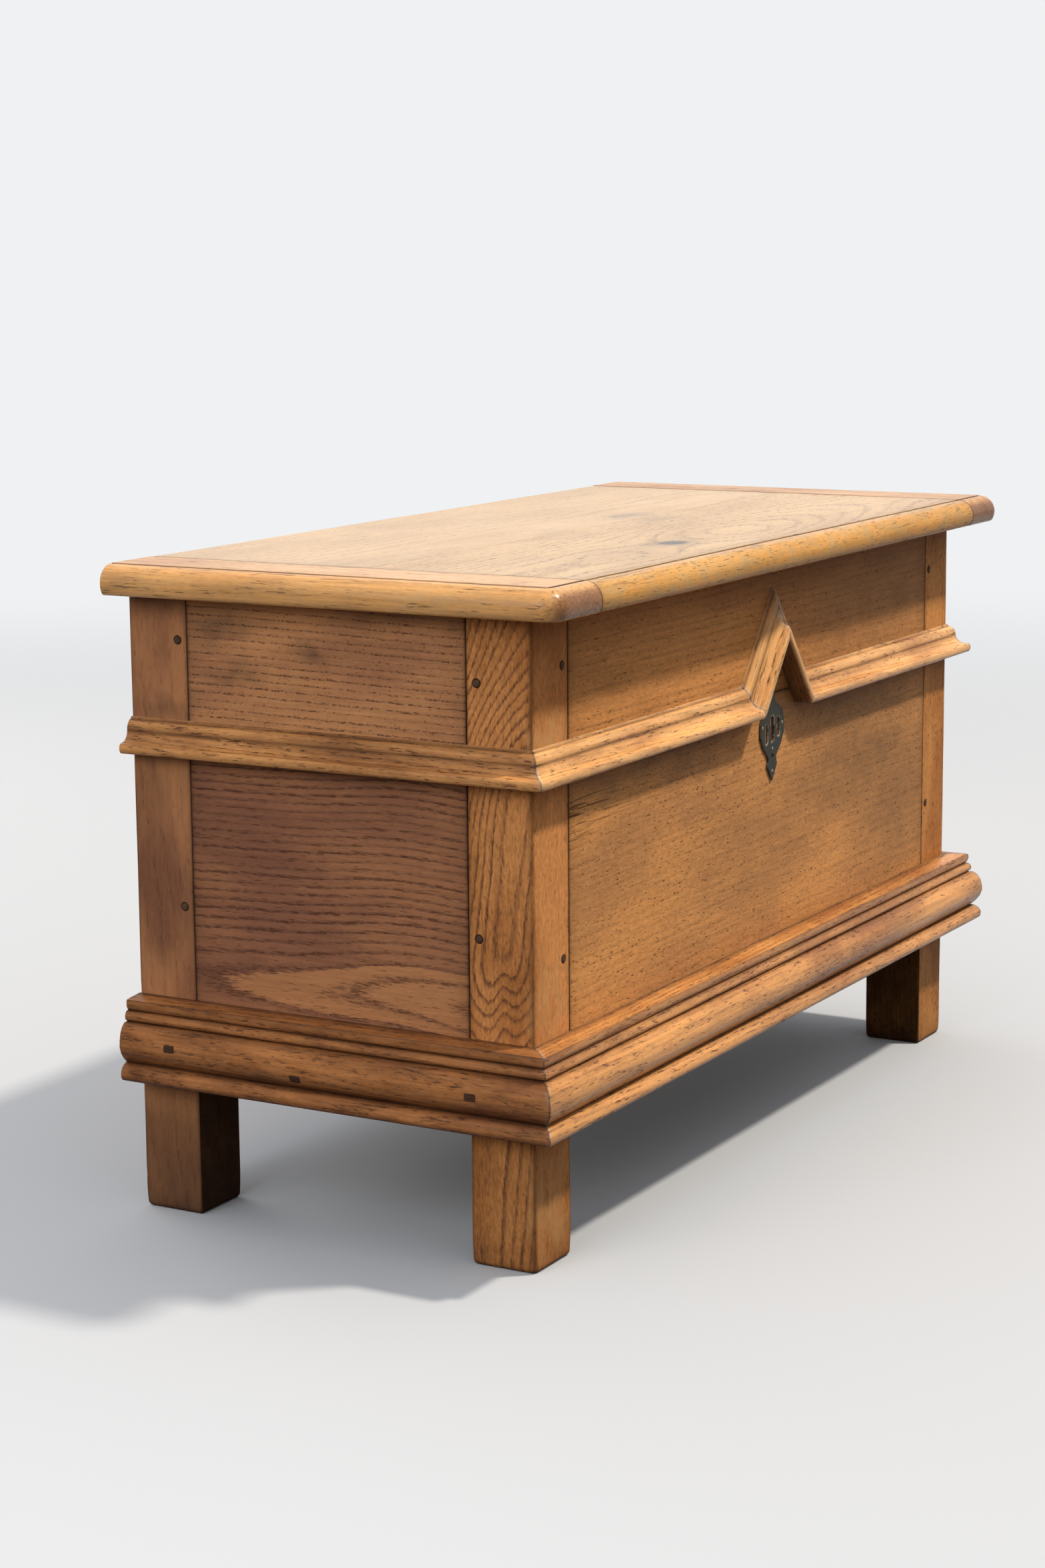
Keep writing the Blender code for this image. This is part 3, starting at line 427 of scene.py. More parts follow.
boardSize = {"arris": 0.0007, "cell": 0.014, "swell": 0.00022, "seamGrime": 0.0013}
boardLogs = {
    "left_board_lower": {
        "ring": 0.0072, "middle": 0.0172, "pith": (0.229, -0.4318), "lean": (0.0, 0.05),
        "sway": (0.007, -0.075, 0.07), "wobble": 0.0045, "ragged": 0.0042, "stroke": 2.6,
        "seed": 0.3, "heart": 6.0, "bandTone": 0.82, "poreTone": 0.45, "crowding": 0.20,
        "openPores": 0.63, "earlyShare": 0.52, "ruddyBase": 0.55, "ruddyShare": 0.4, "broken": 0.55,
        "late": (0.47, 0.202, 0.078, 1), "ruddy": (0.27, 0.109, 0.060, 1), "early": (0.118, 0.047, 0.031, 1),
    },
    "left_board_upper": {
        "ring": 0.0068, "middle": 0.0172, "pith": (0.240, -0.380), "lean": (0.02, 0.0), "wobble": 0.008,
        "ragged": 0.0030, "seed": 1.1, "bandTone": 0.66, "poreTone": 0.70, "earlyShare": 0.36, "poreLength": 1.6,
        "crowding": 0.24, "openPores": 0.655, "bright": 1.14, "broken": 0.85, "stroke": 1.5,
        "late": (0.485, 0.216, 0.086, 1), "ruddy": (0.30, 0.125, 0.064, 1), "early": (0.150, 0.062, 0.034, 1),
        "pore": (0.100, 0.043, 0.022, 1),
        "marks": (((-0.47, 0.120, 0.560), (0.05, 0.060, 0.030), 0.75), ((-0.47, 0.03, 0.537), (0.05, 0.040, 0.020), 0.6),
                  ((-0.47, -0.06, 0.575), (0.05, 0.12, 0.018), 0.5), ((-0.47, 0.11, 0.515), (0.05, 0.05, 0.014), 0.5)),
    },
    "front_board_lower": {
        "ring": 0.0072, "pith": (0.05, -0.02), "lean": (0.03, 0.02), "wobble": 0.012, "seed": 2.2,
        "bandTone": 0.20, "poreTone": 0.80, "crowding": 0.05, "openPores": 0.630, "fleck": 0.75, "poreLength": 2.6,
        "cloud": 0.28, "streak": 0.60, "ruddyShare": 0.48, "ruddyBase": 0.04, "bright": 1.31,
        "late": (0.542, 0.238, 0.074, 1), "ruddy": (0.35, 0.163, 0.068, 1), "stainAndPaintedLight": (0.14, 0.082, 0.042, 1),
        "fissures": (((-0.385, -0.2, 0.398), (0.13, 0.2, 0.040)),),
        # the two long patches at height 0.43, just below the waist moulding, are dirt and painted shade under the
        # moulding
        "marks": (((-0.05, -0.2, 0.33), (0.18, 0.1, 0.10), 0.35), ((0.22, -0.2, 0.36), (0.28, 0.1, 0.11), 0.75),
                  ((0.34, -0.2, 0.27), (0.20, 0.1, 0.10), 0.65), ((-0.22, -0.2, 0.43), (0.34, 0.1, 0.042), 0.80),
                  ((0.22, -0.2, 0.43), (0.34, 0.1, 0.045), 0.60),
                  ((0.05, -0.2, 0.195), (0.60, 0.1, 0.060), 0.30)),
    },
    "front_board_upper": {
        "ring": 0.0066, "pith": (0.30, -0.05), "lean": (0.01, 0.03), "wobble": 0.010, "seed": 3.4,
        "bandTone": 0.30, "poreTone": 0.70, "crowding": 0.08, "openPores": 0.645, "fleck": 0.70, "poreLength": 3.2,
        "bright": 1.27, "ruddyShare": 0.35, "ruddyBase": 0.06,
        "late": (0.53, 0.228, 0.068, 1), "ruddy": (0.33, 0.135, 0.044, 1), "stainAndPaintedLight": (0.14, 0.082, 0.042, 1),
        # a dark patch over the right end: painted shadow of the lid
        "marks": (((0.30, -0.2, 0.52), (0.40, 0.1, 0.16), 0.55),),
    },
    "right_board_lower": {
        "ring": 0.0085, "middle": 0.0172, "pith": (0.30, 0.415), "lean": (0.02, -0.07),
        "arches": ((0.01, 0.0, 0.15), (0.01, 0.0, -0.15)), "seed": 4.1, "bandTone": 0.8,
        "late": (0.47, 0.202, 0.066, 1), "ruddy": (0.28, 0.110, 0.048, 1),
    },
    "right_board_upper": {
        "ring": 0.0078, "middle": 0.0172, "pith": (0.70, 0.39), "lean": (0.04, 0.0), "seed": 5.2, "bandTone": 0.6,
        "late": (0.47, 0.202, 0.066, 1), "ruddy": (0.28, 0.110, 0.048, 1),
    },
    "back_board_lower": {
        "ring": 0.0088, "pith": (0.27, 0.170), "lean": (0.01, 0.045),
        "arches": ((-0.02, 0.0, 0.3), (-0.02, 0.0, -0.3)), "seed": 6.3, "bandTone": 0.75, "bright": 0.9,
        "roughness": 0.55, "late": (0.45, 0.210, 0.078, 1), "ruddy": (0.28, 0.118, 0.052, 1),
    },
    "back_board_upper": {
        "ring": 0.0080, "pith": (0.66, 0.16), "lean": (0.03, 0.02), "seed": 7.7, "bandTone": 0.6, "bright": 0.9,
        "roughness": 0.55, "late": (0.45, 0.210, 0.078, 1), "ruddy": (0.28, 0.118, 0.052, 1),
    },
}


def board(name, low, high, order, inward):
    # profile: width by thickness with soft corners; path: along the grain with soft ends
    length, wide, thick = order
    half, middle = (high - low) / 2, (high + low) / 2
    seed = boardLogs[name]["seed"]
    arris = boardSize["arris"]
    station, inset = softPath(-half[length], half[length], arris, arris, boardSize["cell"], 3)
    outline = softRectangle(half[wide] - inset, half[thick] - inset, np.maximum(arris - inset, 1e-5)[:, None],
                            boardSize["cell"], 3)
    points = np.zeros(outline.shape[:2] + (3,))
    points[..., length] = station[:, None]
    points[..., wide] = outline[..., 0]
    sink = boardSize["swell"] * swell(points[..., length], points[..., wide], seed)
    points[..., thick] = outline[..., 1] - np.sign(outline[..., 1]) * sink
    above = half[wide] - points[..., wide] + name.endswith("upper")  # the top edge of an upper board is no seam
    edge = np.minimum(half[length] - np.abs(points[..., length]), np.minimum(half[wide] + points[..., wide], above))
    inner = np.clip(points[..., thick] * inward / half[thick], 0, 1)
    # a dark seam line at each joint, and a fainter darkening over about 12 mm from the edges, which is painted shade
    grimeAndShade = near(edge, boardSize["seamGrime"]) + 0.30 * near(edge, 0.012)
    return makePiece(name + "_wood", points + middle, (edge * 0, grimeAndShade, inner > 0.5))


def circleOutline(centre, radius, order, sides=20):
    # order gives the two axes of the circle's plane
    turn = np.linspace(0, 2 * np.pi, sides, endpoint=False)
    ring = np.zeros((sides, 3))
    ring[:, order[0]] = centre[0] + radius * np.cos(turn)
    ring[:, order[1]] = centre[1] + radius * np.sin(turn)
    return ring


def slotOutline(centre, width, height, sides=8):
    # upright slot with round ends, in x and z
    turn = np.linspace(0, np.pi, sides)
    lift = (height - width) / 2
    x = np.r_[np.cos(turn), np.cos(turn + np.pi)] * width / 2 + centre[0]
    z = np.r_[np.sin(turn) * width / 2 + lift, np.sin(turn + np.pi) * width / 2 - lift] + centre[1]
    return np.stack([x, x * 0, z], -1)


def atDepth(outline, axis, value):
    moved = outline.copy()
    moved[:, axis] = value
    return moved


def makeBoards():
    for name, log in boardLogs.items():
        low, high = span(name)
        if name.startswith(("left", "right")):
            order, inward = (1, 2, 0), 1 if name.startswith("left") else -1
            low[1], high[1] = postHigh[1] + 0.0003, rearLow[1] - 0.0003
            grain = "y"
        else:
            order, inward = (0, 2, 1), 1 if name.startswith("front") else -1
            low[0], high[0] = postHigh[0] + 0.0003, rearLow[0] - 0.0003
            grain = "x"
        piece = board(name, low, high, order, inward)
        if name == "front_board_lower":
            hole = slotOutline((lockX, keyhole["height"]), keyhole["slot"][0], keyhole["slot"][1])
            crack = frontCrack(low, high)
            cut(piece, "keyhole", [[atDepth(hole, 1, frontFace - 0.01), atDepth(hole, 1, frontFace + 0.05)], crack])
        if name == "back_board_upper":
            cut(piece, "leafSeat", [leafSeat(side, -1) for side in (-1, 1)])
        settle(piece, oakFinish(name + "_oak", {"grain": grain, **log}), "oak_board", "carcass", name)
    print("wall boards:", len(boardLogs))


crackSize = {"length": 0.070, "open": 0.0012, "depth": 0.008, "height": 0.386}


def frontCrack(low, high):
    # a wedge that closes along the grain: half opening (1 - s) plus a slow wave
    share = np.linspace(0, 1, 12)
    x = low[0] - 0.002 + share * crackSize["length"]
    z = crackSize["height"] + 0.0012 * np.sin(share * 7.0) + 0.004 * share
    half = crackSize["open"] / 2 * (1 - share) + 0.00006
    face, back = frontFace - 0.002, frontFace + crackSize["depth"] * (1.02 - share)
    corners = [np.stack([x, x * 0 + face, z - half], -1), np.stack([x, x * 0 + face, z + half], -1),
               np.stack([x, back, z + half * 0.3], -1), np.stack([x, back, z - half * 0.3], -1)]
    return np.stack(corners, 1)


def boxPlug(low, high):  # two outlines, floor and top
    x, y = np.array([low[0], high[0], high[0], low[0]]), np.array([low[1], low[1], high[1], high[1]])
    return np.array([np.stack([x, y, x * 0 + z], -1) for z in (low[2], high[2])])


def leafSeat(side, above):  # the recess of a hinge leaf: above the joint in the lid, or below it in the back board
    kind = "lid" if above > 0 else "carcass"
    low, high = span(f"hinge_{kind}_leaf_{word(side)}")
    low, high = low - 0.0003, high + 0.0003
    high[1] = rearFace + 0.03
    if above > 0:
        low[2], high[2] = carcassTop - 0.01, span("hinge_lid_leaf_left")[0][2] + leafThickness + 0.0004
    else:
        low[2], high[2] = span("hinge_carcass_leaf_left")[1][2] - leafThickness - 0.0004, carcassTop + 0.01
    return boxPlug(low, high)


leafThickness = 0.003


# Posts: upright grain, a softened outer arris, rounded feet

postSize = {"arris": 0.0032, "arrisWear": 0.0016, "inner": 0.0008, "foot": 0.0045, "cell": 0.009, "swell": 0.00025,
            "dent": (0.355, 0.0030, 0.0022)}  # height, reach and depth of the knock on the front left arris
postLogs = {
    "post_front_left": {
        "ring": 0.0062, "middle": 0.36, "pith": (-0.170, -0.452), "lean": (-0.10, 0.0),
        "arches": ((0.035, -0.08, -0.18), (0.055, 0.06, 0.27)), "ripple": (0.017, -0.163, 0.0095),
        "sway": (-0.030, 0.20, 0.10),
        "wobble": 0.016, "ragged": 0.0042, "seed": 8.3, "bandTone": 0.95, "poreTone": 0.45, "poreLength": 4.5,
        "openPores": 0.635, "quiet": 0.9, "earlyShare": 0.48, "broken": 0.30, "bright": 1.12, "fleck": 1.1,
        # sideTone lightens the post's front face: partly its own tone, partly painted light
        "sideTone": 0.15, "uneven": 0.35, "stainAndPaintedLight": (0.64, 0.34, 0.130, 1),
        # pale patches on the front face near the top, in the middle and at the foot: painted light
        "marks": (((-0.44, -0.193, 0.472), (0.06, 0.010, 0.035), 0.9), ((-0.44, -0.193, 0.235), (0.06, 0.010, 0.08), 0.6),
                  ((-0.44, -0.193, 0.060), (0.06, 0.010, 0.09), 0.7)),
        "late": (0.53, 0.213, 0.065, 1), "early": (0.165, 0.060, 0.030, 1), "footDirtAndShade": (0.12, 0.20),
    },
    "post_front_right": {
        "ring": 0.0058, "middle": 0.25, "pith": (-0.10, 0.43), "lean": (0.05, 0.02), "seed": 9.1, "bandTone": 0.4,
        "fleck": 0.8, "quiet": 0.6, "poreLength": 4.5, "bright": 1.20, "ruddyBase": 0.1, "footDirtAndShade": (0.12, 0.15),
        "late": (0.53, 0.225, 0.062, 1),
    },
    "post_rear_left": {
        "ring": 0.0120, "middle": 0.25, "pith": (0.30, -0.40), "lean": (0.05, 0.05), "seed": 10.4, "wobble": 0.03,
        "bandTone": 0.15, "poreTone": 0.30, "openPores": 0.66, "streak": 0.35, "cloud": 0.75, "bright": 0.91,
        "late": (0.455, 0.193, 0.080, 1), "ruddy": (0.26, 0.102, 0.054, 1), "ruddyShare": 0.8, "footDirtAndShade": (0.12, 0.36),
        # a dark patch at the foot that is painted shade from the wall, and dark patches higher up the stile
        "marks": (((-0.44, 0.195, 0.0), (0.12, 0.12, 0.16), 0.55), ((-0.47, 0.20, 0.575), (0.1, 0.05, 0.03), 0.4),
                  ((-0.47, 0.185, 0.475), (0.1, 0.06, 0.02), 0.5), ((-0.47, 0.20, 0.32), (0.1, 0.09, 0.20), 0.15)),
    },
    "post_rear_right": {
        "ring": 0.0064, "middle": 0.25, "pith": (0.22, 0.45), "lean": (-0.06, 0.0),
        "arches": ((0.02, 0.0, 0.15), (0.02, 0.0, -0.15)), "seed": 11.6, "bandTone": 0.7,
        "late": (0.46, 0.200, 0.068, 1), "ruddy": (0.28, 0.110, 0.048, 1),
    },
}
peg = {"radius": 0.0040, "gap": 0.00035, "depth": 0.012}


def pegPlaces():  # each peg node: the axis it runs along, its centre and which way it faces
    found = {}
    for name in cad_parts:
        if name.startswith("peg_"):
            low, high = span(name)
            centre = (low + high) / 2
            axis = int(np.argmax(high - low))
            found[name] = (axis, centre, -1 if centre[axis] < (carcassMiddle if axis == 1 else 0.0) else 1)
    return found


pegs = pegPlaces()


def post(side, face):
    # profile: a square whose outer corner is worn round; path: from the rounded foot up to the lid
    name = f"post_{place(face)}_{word(side)}"
    low, high = span(name)
    half, middle = (high - low) / 2, (high + low) / 2
    seed = postLogs[name]["seed"]
    height, inset = softPath(low[2], high[2], postSize["foot"], postSize["inner"], postSize["cell"])
    wear = postSize["arris"] + postSize["arrisWear"] * (swell(height, 0 * height, seed, 0.25) - 0.3)
    dentHeight, dentReach, dentDepth = postSize["dent"]
    dent = dentDepth * np.exp(-((height - dentHeight) / dentReach) ** 2) * (name == "post_front_left")
    corners = [(1, -1), (1, 1), (-1, 1), (-1, -1)]
    radii = np.stack([wear + dent if c == (side, face) else 0 * wear + postSize["inner"] for c in corners], 1)
    foot = postSize["foot"] * np.exp(-((height - low[2]) / 0.012) ** 2)
    radii = np.maximum(radii + foot[:, None] * 0.5 - inset[:, None] * 0.5, 1e-4)
    outline = softRectangle(half[0] - inset, half[1] - inset, radii, postSize["cell"])
    points = np.zeros(outline.shape[:2] + (3,))
    points[..., :2] = outline
    points[..., 2] = height[:, None]
    sink = postSize["swell"] * swell(points[..., 2], points[..., 0] - points[..., 1], seed, 0.16)
    points[..., :2] -= np.sign(points[..., :2]) * sink[..., None] * (np.abs(outline) > half[:2] * 0.97)
    outX, outY = half[0] - side * points[..., 0], half[1] - face * points[..., 1]
    arris = np.hypot(outX, outY)
    seam = np.minimum(2 * half[0] - outX, 2 * half[1] - outY)
    ground = points[..., 2] - low[2]
    grimeAndShade = near(seam, boardSize["seamGrime"]) + 0.80 * near(arris - 0.0012, 0.0014) + 0.55 * near(ground, 0.010)
    inner = (np.minimum(outX, outY) > postWidth * 0.8) & (ground > 0.15)
    points[..., :2] += middle[:2]
    piece = makePiece(name + "_wood", points, (0 * arris, grimeAndShade, inner))
    holes = []
    for axis, centre, sign in pegs.values():
        if np.all(centre[:2] > low[:2] - 0.001) and np.all(centre[:2] < high[:2] + 0.001):
            plane = [k for k in range(3) if k != axis]
            ring = circleOutline(centre[plane], peg["radius"] + peg["gap"], plane)
            surface = high[axis] if sign > 0 else low[axis]
            holes.append([atDepth(ring, axis, surface + sign * 0.002), atDepth(ring, axis, surface - sign * peg["depth"])])
    cut(piece, "pegHole", holes)
    settle(piece, oakFinish(name + "_oak", {"grain": "z", **postLogs[name]}), "oak_post", "carcass", name)


def makePegs():
    # profile of a peg, turned about its axis: a low dome, a worn rim and a straight shank, with a slightly uneven radius
    rng = np.random.default_rng(12)
    finish = oakFinish("peg_end_grain", {
        "grain": "z", "late": (0.10, 0.055, 0.032, 1), "ruddy": (0.06, 0.034, 0.022, 1), "early": (0.05, 0.028, 0.018, 1), "bandTone": 0.5,
        "ring": 0.0021, "pith": (0.0, 0.0), "wobble": 0.004, "fleck": 0.5, "roughness": 0.5})
    sides = 24
    turn = np.linspace(0, 2 * np.pi, sides, endpoint=False)
    for name, (axis, centre, sign) in pegs.items():
        low, high = span(name)
        plane = [k for k in range(3) if k != axis]
        tip = high[axis] if sign > 0 else low[axis]
        root = low[axis] if sign > 0 else high[axis]
        uneven = 1 - 0.05 * (0.5 + 0.5 * np.sin(2 * turn + rng.uniform(0, 6))) - 0.03 * (0.5 + 0.5 * np.sin(5 * turn))
        radii = np.array([0.15, 0.5, 0.8, 0.93, 1.0, 1.0]) * peg["radius"]
        sinks = np.array([0.0, 0.00005, 0.0002, 0.00045, 0.0011, abs(tip - root)])
        points = np.zeros((len(radii), sides, 3))
        points[..., plane[0]] = centre[plane[0]] + radii[:, None] * uneven * np.cos(turn)
        points[..., plane[1]] = centre[plane[1]] + radii[:, None] * uneven * np.sin(turn)
        points[..., axis] = tip - sign * sinks[:, None]
        grimeAndShade = np.broadcast_to(np.array([0, 0, 0.1, 0.6, 1, 1])[:, None], (len(radii), sides))
        settle(makePiece(name + "_wood", points, (grimeAndShade * 0, grimeAndShade, grimeAndShade * 0)), finish, "oak_peg", "carcass", name)
    print("pegs:", len(pegs))


# Mouldings: a worked profile carried along straight runs, mitred at the corners

baseMoulding = {
    "foot": float(span("base_moulding_front")[0][2]), "start": 0.0296, "steps": 9,
    "members": ((0.0165, 0.0340, 0.0250, 1.0, 1.0), (0.0385, 0.0352, 0.0214, 1.9, 0.7),
                (0.0100, 0.0252, 0.0196, 1.0, 0.8), (0.0100, 0.0226, 0.0208, 1.0, 0.8)),
    # each member: height, crest, quirk above it, and how hollow it is below and above the crest
    "topFall": 0.0020, "cell": 0.012, "wearSwell": 0.0005,
    # the front run is lighter and the side runs darker than the same wood would be: painted light on the lit front and
    # painted shade on the shaded sides
    "front": {"bright": 1.42, "shine": 0.22, "ruddyBase": 0.15, "cloud": 0.9, "ruddyShare": 0.8,
              "late": (0.56, 0.250, 0.070, 1), "ruddy": (0.30, 0.106, 0.028, 1), "wearAndHighlight": (0.65, 0.295, 0.088, 1)},
    "sides": {"bright": 0.80, "ruddyBase": 0.25, "cloud": 1.1, "ruddyShare": 0.9, "wearAndHighlight": (0.44, 0.176, 0.058, 1),
              "late": (0.51, 0.192, 0.054, 1), "ruddy": (0.22, 0.072, 0.027, 1)},
}
waistMoulding = {
    "foot": float(span("waist_moulding_left")[0][2]), "noseHeight": 0.0092, "nose": 0.0212, "noseEdge": 0.0188,
    "coveHeight": 0.0108, "cove": 0.0084, "ovoloHeight": 0.0094, "ovolo": 0.0024, "fillet": 0.0026,
    "steps": 8, "cell": 0.012, "wearSwell": 0.0004,
    # the front runs are lighter and the side runs darker than the same wood would be: painted light on the lit front
    # and painted shade on the shaded sides
    "front": {"bright": 1.60, "shine": 0.13, "openPores": 0.645, "poreTone": 0.70, "streak": 1.1, "bandTone": 0.42,
              "wearAndHighlight": (0.68, 0.372, 0.150, 1)},
    "sides": {"bright": 1.10, "late": (0.56, 0.250, 0.080, 1), "ruddy": (0.27, 0.102, 0.036, 1),
              "wearAndHighlight": (0.60, 0.280, 0.092, 1)},
}
# the chevron's size; its arms are darkened on their undersides and at the apex under the lid, both painted shade
chevron = {"halfWidth": 0.070, "clear": 0.0244, "drop": 0.114, "undersideShade": 0.45,
           "apexShade": ((lockX, frontFace - 0.01, 0.575), (0.06, 0.06, 0.056), 0.95)}
seamGap = 0.0003
mouldingLogs = {
    "ring": 0.0048, "bandTone": 0.60, "poreTone": 0.80, "earlyShare": 0.6, "wobble": 0.014, "poreLength": 7.0,
    "openPores": 0.628, "streak": 1.4, "cloud": 0.75, "ruddyShare": 0.75, "roughness": 0.28, "shine": 0.09, "bare": (0.62, 0.50, 0.38, 1),
    "late": (0.56, 0.285, 0.100, 1), "ruddy": (0.33, 0.132, 0.042, 1), "wearAndHighlight": (0.68, 0.36, 0.135, 1),
}


def baseProfile():
    # each member bulges by (crest - chord) (sin t)^power over its height; a power above 1 hollows that side
    size = baseMoulding
    turn = np.linspace(0, np.pi, size["steps"] + 1)[:-1]
    reach, height = [np.array([seamGap])], [np.array([0.0])]
    wearAndHighlight, dirtAndShade = [np.array([0.0])], [np.array([0.3])]
    start, foot = size["start"], 0.0
    for rise, crest, quirk, below, above in size["members"]:
        share = (1 - np.cos(turn)) / 2
        bulge = np.sin(turn) ** np.where(turn < np.pi / 2, below, above)
        reach.append(start + (quirk - start) * share + (crest - (start + quirk) / 2) * bulge)
        height.append(foot + rise * share)
        # each member is lightened towards its crest: wear and painted highlight
        wearAndHighlight.append(bulge ** 3)
        # darker at the foot and head of each member, in the quirks between members: grime and painted shade
        dirtAndShade.append(near(share * rise, 0.0014 * below) + near((1 - share) * rise, 0.0016))
        start, foot = quirk, foot + rise
    reach.append(np.array([start, start * 0.5, seamGap]))
    height.append(foot + size["topFall"] * np.array([0.0, 0.6, 1.0]))
    wearAndHighlight.append(np.array([0.6, 0.2, 0.0]))
    dirtAndShade.append(np.array([0.1, 0.1, 1.0]))
    return [np.concatenate(part) for part in (reach, height, wearAndHighlight, dirtAndShade)]


def waistProfile():
    # a rounded nose, a cove as a quarter ellipse turned in, an ovolo as a quarter ellipse turned out, a thin fillet
    size = waistMoulding
    half = size["noseHeight"] / 2
    nose = np.radians(np.linspace(-90, 90, size["steps"] + 1))
    cove = np.radians(np.linspace(270, 180, size["steps"] + 1))[1:]
    ovolo = np.radians(np.linspace(0, 90, size["steps"] + 1))[1:]
    coveTop = size["noseHeight"] + size["coveHeight"]
    reach = [[seamGap], size["noseEdge"] + (size["nose"] - size["noseEdge"]) * np.cos(nose),
             size["noseEdge"] + (size["noseEdge"] - size["cove"]) * np.cos(cove),
             size["ovolo"] + (size["cove"] - size["ovolo"]) * np.cos(ovolo), [seamGap]]
    height = [[0.0], half + half * np.sin(nose), coveTop + size["coveHeight"] * np.sin(cove),
              coveTop + size["ovoloHeight"] * np.sin(ovolo), [coveTop + size["ovoloHeight"] + size["fillet"]]]
    # the nose and the ovolo are lightened towards their crests: wear and painted highlight
    wearAndHighlight = [[0.0], np.cos(nose) ** 2, np.zeros(len(cove)), np.sin(2 * ovolo) ** 2 * 0.8, [0.0]]
    # darker under the nose, at the cove's top and under the fillet, with a faint darkening across the cove: grime and
    # painted shade in the hollows
    inCove = 0.15 * np.sin(2 * (cove - np.pi)) ** 2 + np.exp(-(cove - np.pi) / 0.16) * 0.95
    underFillet = np.exp(-ovolo / 0.16) * 0.95 + np.exp(-(1.5708 - ovolo) / 0.20) * 0.9
    dirtAndShade = [[0.6], np.exp(-(nose + 1.57) / 0.3) * 0.3, inCove, underFillet, [0.3]]
    return [np.concatenate([np.asarray(p, float) for p in part]) for part in (reach, height, wearAndHighlight, dirtAndShade)]


def mouldingRun(name, profile, size, origin, along, up, out, length, start, end, seed):
    # point = origin + along (place between two slanted ends) + up height + out reach
    reach, height, wearAndHighlight, dirtAndShade = profile
    ends = np.array([0.0, 0.0004, 0.0010, 0.0022, 0.0045])
    inner = np.linspace(0.01, length - 0.01, max(3, round(length / size["cell"])))
    station = np.concatenate([ends, inner, length - ends[::-1]])
    share = (station / length)[:, None]
    first = seamGap + start[0] * reach + start[1] * height
    last = length - seamGap + end[0] * reach + end[1] * height
    travel = first + (last - first) * share
    fromEnd = np.minimum(station, length - station)[:, None]
    mitred = np.where(station[:, None] < length / 2, any(start), any(end))
    ease = 0.0007 * near(fromEnd, 0.0010) * np.clip(reach / 0.006, 0, 1)
    sag = size["wearSwell"] * swell(travel, height * 2 + reach * 0, seed, 0.14) * np.clip(reach / 0.006, 0, 1)
    out3, up3, along3 = (np.array(v, float) for v in (out, up, along))
    points = (np.array(origin, float) + along3 * travel[..., None] + up3 * np.broadcast_to(height, travel.shape)[..., None]
              + out3 * (reach - ease - sag)[..., None])
    knee = np.where(station[:, None] < length / 2, bool(start[1]), bool(end[1]))  # stopped with pale filler
    grimeAndShade = dirtAndShade * 0.85 + mitred * near(fromEnd, 0.0009) * (0.9 - 0.7 * knee)
    # crests lightened by wear and painted highlight, and the mitred ends worn
    wear = wearAndHighlight * 0.8 + mitred * near(fromEnd - 0.001, 0.0022) * 0.55
    grain = (tuple(along3), tuple(up3), tuple(out3))
    patches = swell(height * 9 + reach * 5, 0 * reach, seed, 0.09) > 0.45
    chalk = mitred * near(fromEnd - 0.0004, 0.0012) * np.maximum(patches, 0.8 * knee)
    piece = makePiece(name + "_wood", points, (wear, grimeAndShade, chalk))
    rng = np.random.default_rng(int(seed * 100))
    centre = np.array(origin) + along3 * length / 2
    log = {**mouldingLogs, "grain": grain, "middle": float(centre @ along3), "seed": seed,
           "pith": (float(centre @ up3) + rng.uniform(-0.05, 0.05), float(centre @ out3) - rng.uniform(0.03, 0.08)),
           "lean": (rng.uniform(-0.03, 0.03), rng.uniform(-0.05, 0.05))}
    return piece, {**log, **size["sides" if out[0] else "front"]}


